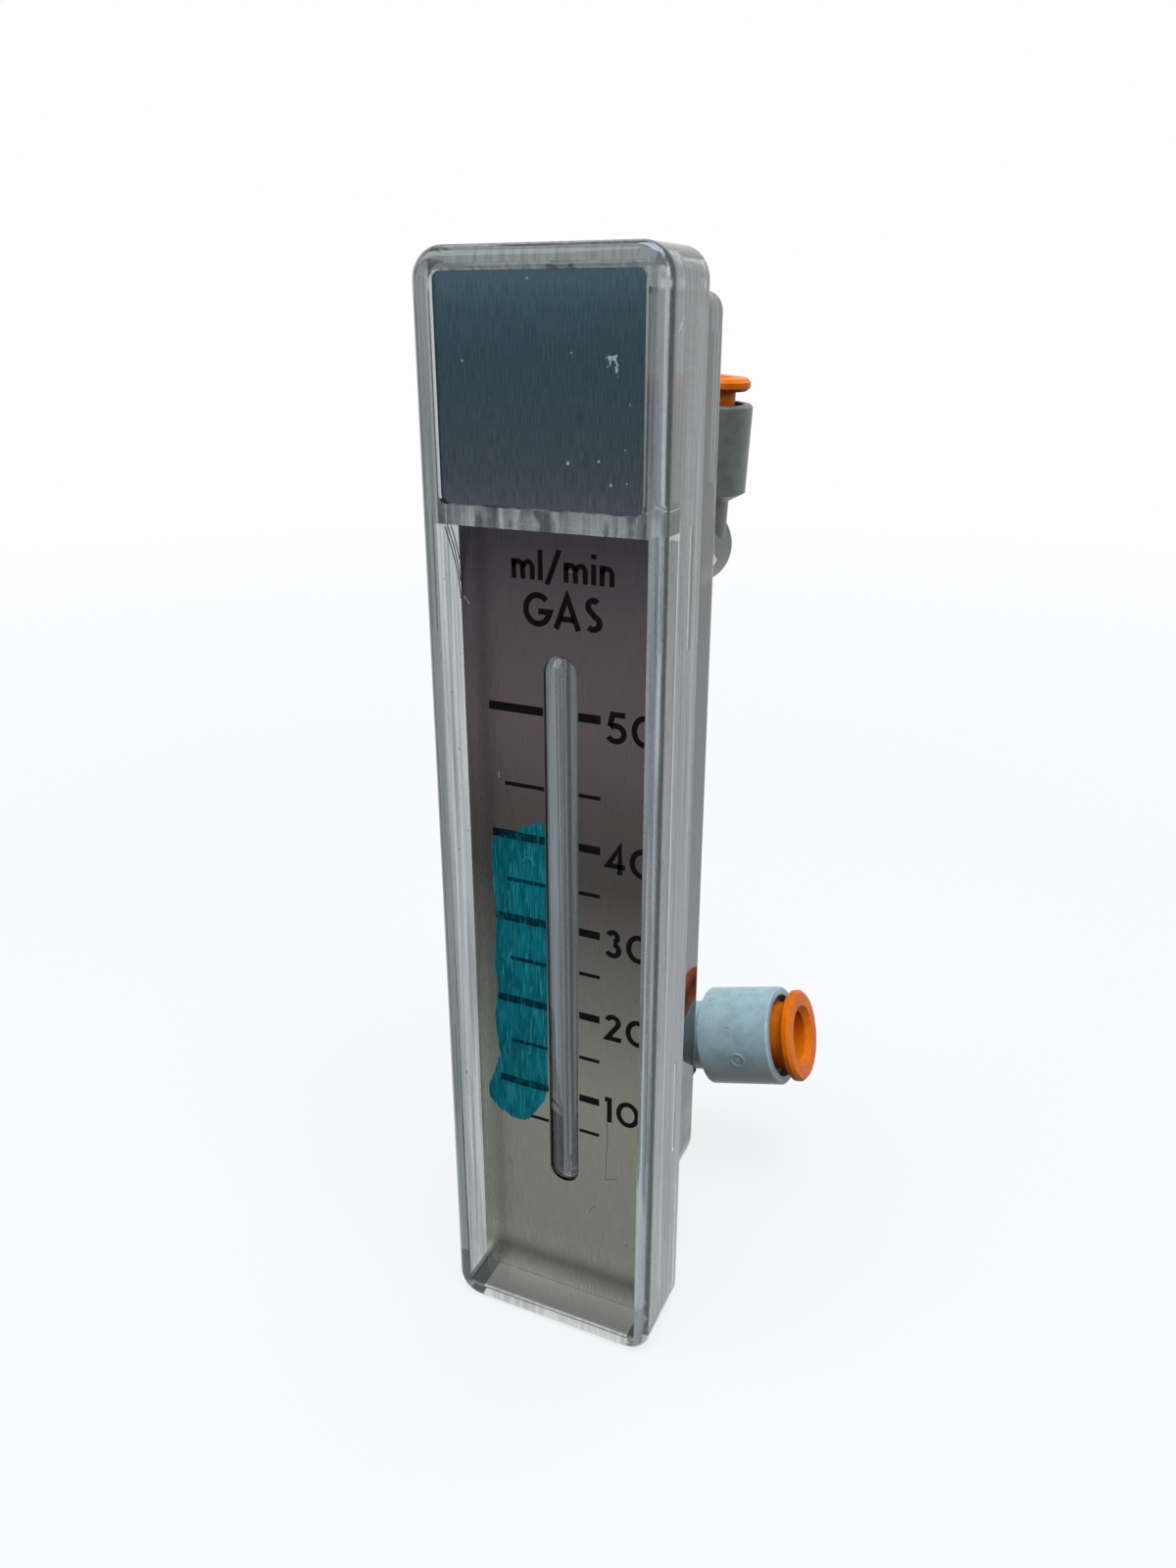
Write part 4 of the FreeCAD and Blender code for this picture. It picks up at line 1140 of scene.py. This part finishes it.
@dataclass
class Studio:
    """Pale floor, soft light and the camera.

    Args:
        sky_level: strength of the even light from straight above.
        ground_level: strength of the even light from straight below.
        floor_glow: how much of the floor's white doesn't depend on the light.
        floor_near: distance from the object at which the floor starts to fade into the white behind it.
        floor_far: distance at which it is all white.
    """

    sky_level: float = 0.9
    ground_level: float = 0.0
    floor_glow: float = 0.78
    floor_near: float = 0.16
    floor_far: float = 0.6
    floor_tone: Colour = (0.13, 0.13, 0.13, 1.0)
    # half the floor's side
    floor_reach: float = 3.0
    sky_colour: str = "#EAF4FF"
    camera_at: Place = (50.2 * MM, -108.0 * MM, 54.3 * MM)
    pitch_deg: float = -21.57
    yaw_deg: float = 24.57
    # height of the sensor in millimetres, and the focal length as a share of it
    sensor_height: float = 36.0
    focal_share: float = 0.75375
    # name, place, side, power in watts and colour of each lamp
    lamps: tuple[tuple[str, Place, float, float, str], ...] = (
        ("overhead", (0.1, -0.1, 0.8), 0.6, 7.5, "#D0E4FF"),
        ("left", (-0.4, -0.45, 0.35), 0.4, 0.9, WHITE), ("right", (0.55, -0.25, 0.3), 0.3, 0.8, "#F2F7FF"))

    def build(self) -> None:
        """Makes the world, the floor, the lamps and the camera."""
        self.set_world()
        self.add_floor()
        for lamp in self.lamps:
            self.add_lamp(*lamp)
        self.add_camera()
        bpy.context.scene.view_settings.view_transform = "Standard"
        LOG.info("studio ready")

    @staticmethod
    def seen_directly(tree: Tree) -> Node:
        """Gives 1 for rays from the eye and for mirrored and refracted ones, and 0 for scattered light."""
        path = add_node(tree, "ShaderNodeLightPath")
        pair = add_node(tree, "ShaderNodeMath", {0: path.outputs["Is Camera Ray"],
                                                 1: path.outputs["Is Glossy Ray"]}, operation="MAXIMUM")
        return add_node(tree, "ShaderNodeMath", {0: pair, 1: path.outputs["Is Transmission Ray"]},
                        operation="MAXIMUM")

    def set_world(self) -> None:
        """Lights the object evenly and shows plain white behind it."""
        world = bpy.data.worlds.new("studio")
        tree = empty_tree(world)
        upward = place(tree, "Generated")[2]
        light = add_node(tree, "ShaderNodeBackground", {
            "Color": self.sky_colour,
            "Strength": grade(tree, upward, -1.0, 1.0, self.ground_level, self.sky_level)})
        white = add_node(tree, "ShaderNodeBackground", {"Color": WHITE, "Strength": 1.0})
        sky = add_node(tree, "ShaderNodeMixShader", {0: self.seen_directly(tree), 1: light, 2: white})
        add_node(tree, "ShaderNodeOutputWorld", {"Surface": sky})
        bpy.context.scene.world = world

    def add_floor(self) -> None:
        """Lays the pale floor under the bezel's foot."""
        paint = bpy.data.materials.new("studio floor")
        tree = empty_tree(paint)
        matt = add_node(tree, "ShaderNodeBsdfDiffuse", {"Color": self.floor_tone})
        seen = self.seen_directly(tree)
        glow = add_node(tree, "ShaderNodeEmission", {
            "Color": WHITE, "Strength": grade(tree, seen, 0.0, 1.0, 0.0, self.floor_glow)})
        near = add_node(tree, "ShaderNodeAddShader", {0: matt, 1: glow})
        far = add_node(tree, "ShaderNodeEmission", {"Color": WHITE, "Strength": seen})
        point = add_node(tree, "ShaderNodeTexCoord").outputs["Object"]
        away = add_node(tree, "ShaderNodeVectorMath", {0: point}, operation="LENGTH").outputs["Value"]
        both = add_node(tree, "ShaderNodeMixShader", {
            0: grade(tree, away, self.floor_near, self.floor_far, 0.0, 1.0), 1: near, 2: far})
        add_node(tree, "ShaderNodeOutputMaterial", {"Surface": both})
        mesh = bmesh.new()
        mesh.faces.new([mesh.verts.new((x * self.floor_reach, y * self.floor_reach, CAD_BOX[0][2]))
                        for x, y in ((-1, -1), (1, -1), (1, 1), (-1, 1))])
        floor = link_mesh("floor", mesh, paint)

    @staticmethod
    def add_lamp(name: str, spot: Place, size: float, power: float, colour: str) -> None:
        """Adds a soft square lamp that faces the object.

        Args:
            name: the lamp's name.
            spot: where it hangs.
            size: length of its side.
            power: its power in watts.
            colour: colour of its light.
        """
        data = bpy.data.lights.new(name, "AREA")
        data.size = size
        data.energy = power
        data.color = linear(colour)[:3]
        lamp = link(name, data)
        lamp.location = spot
        lamp.rotation_euler = (-Vector(spot)).to_track_quat("-Z", "Y").to_euler()

    def add_camera(self) -> None:
        """Sets the camera at the standing viewer's place."""
        data = bpy.data.cameras.new("camera")
        data.sensor_fit = "VERTICAL"
        data.sensor_height = self.sensor_height
        data.lens = self.sensor_height * self.focal_share
        data.clip_start = 5 * MM
        camera = link("camera", data)
        camera.location = self.camera_at
        camera.rotation_euler = (math.radians(90 + self.pitch_deg), 0.0, math.radians(self.yaw_deg))
        bpy.context.scene.camera = camera


def main() -> None:
    """Builds the studio, the meter and its two fittings."""
    logging.basicConfig(level=logging.INFO, format="%(name)s: %(message)s")
    Studio().build()
    Meter().build()
    Fitting("inlet", GREY_RESIN).build()
    Fitting("outlet", SHADED_GREY_RESIN).build()


if __name__ == "__main__":
    main()
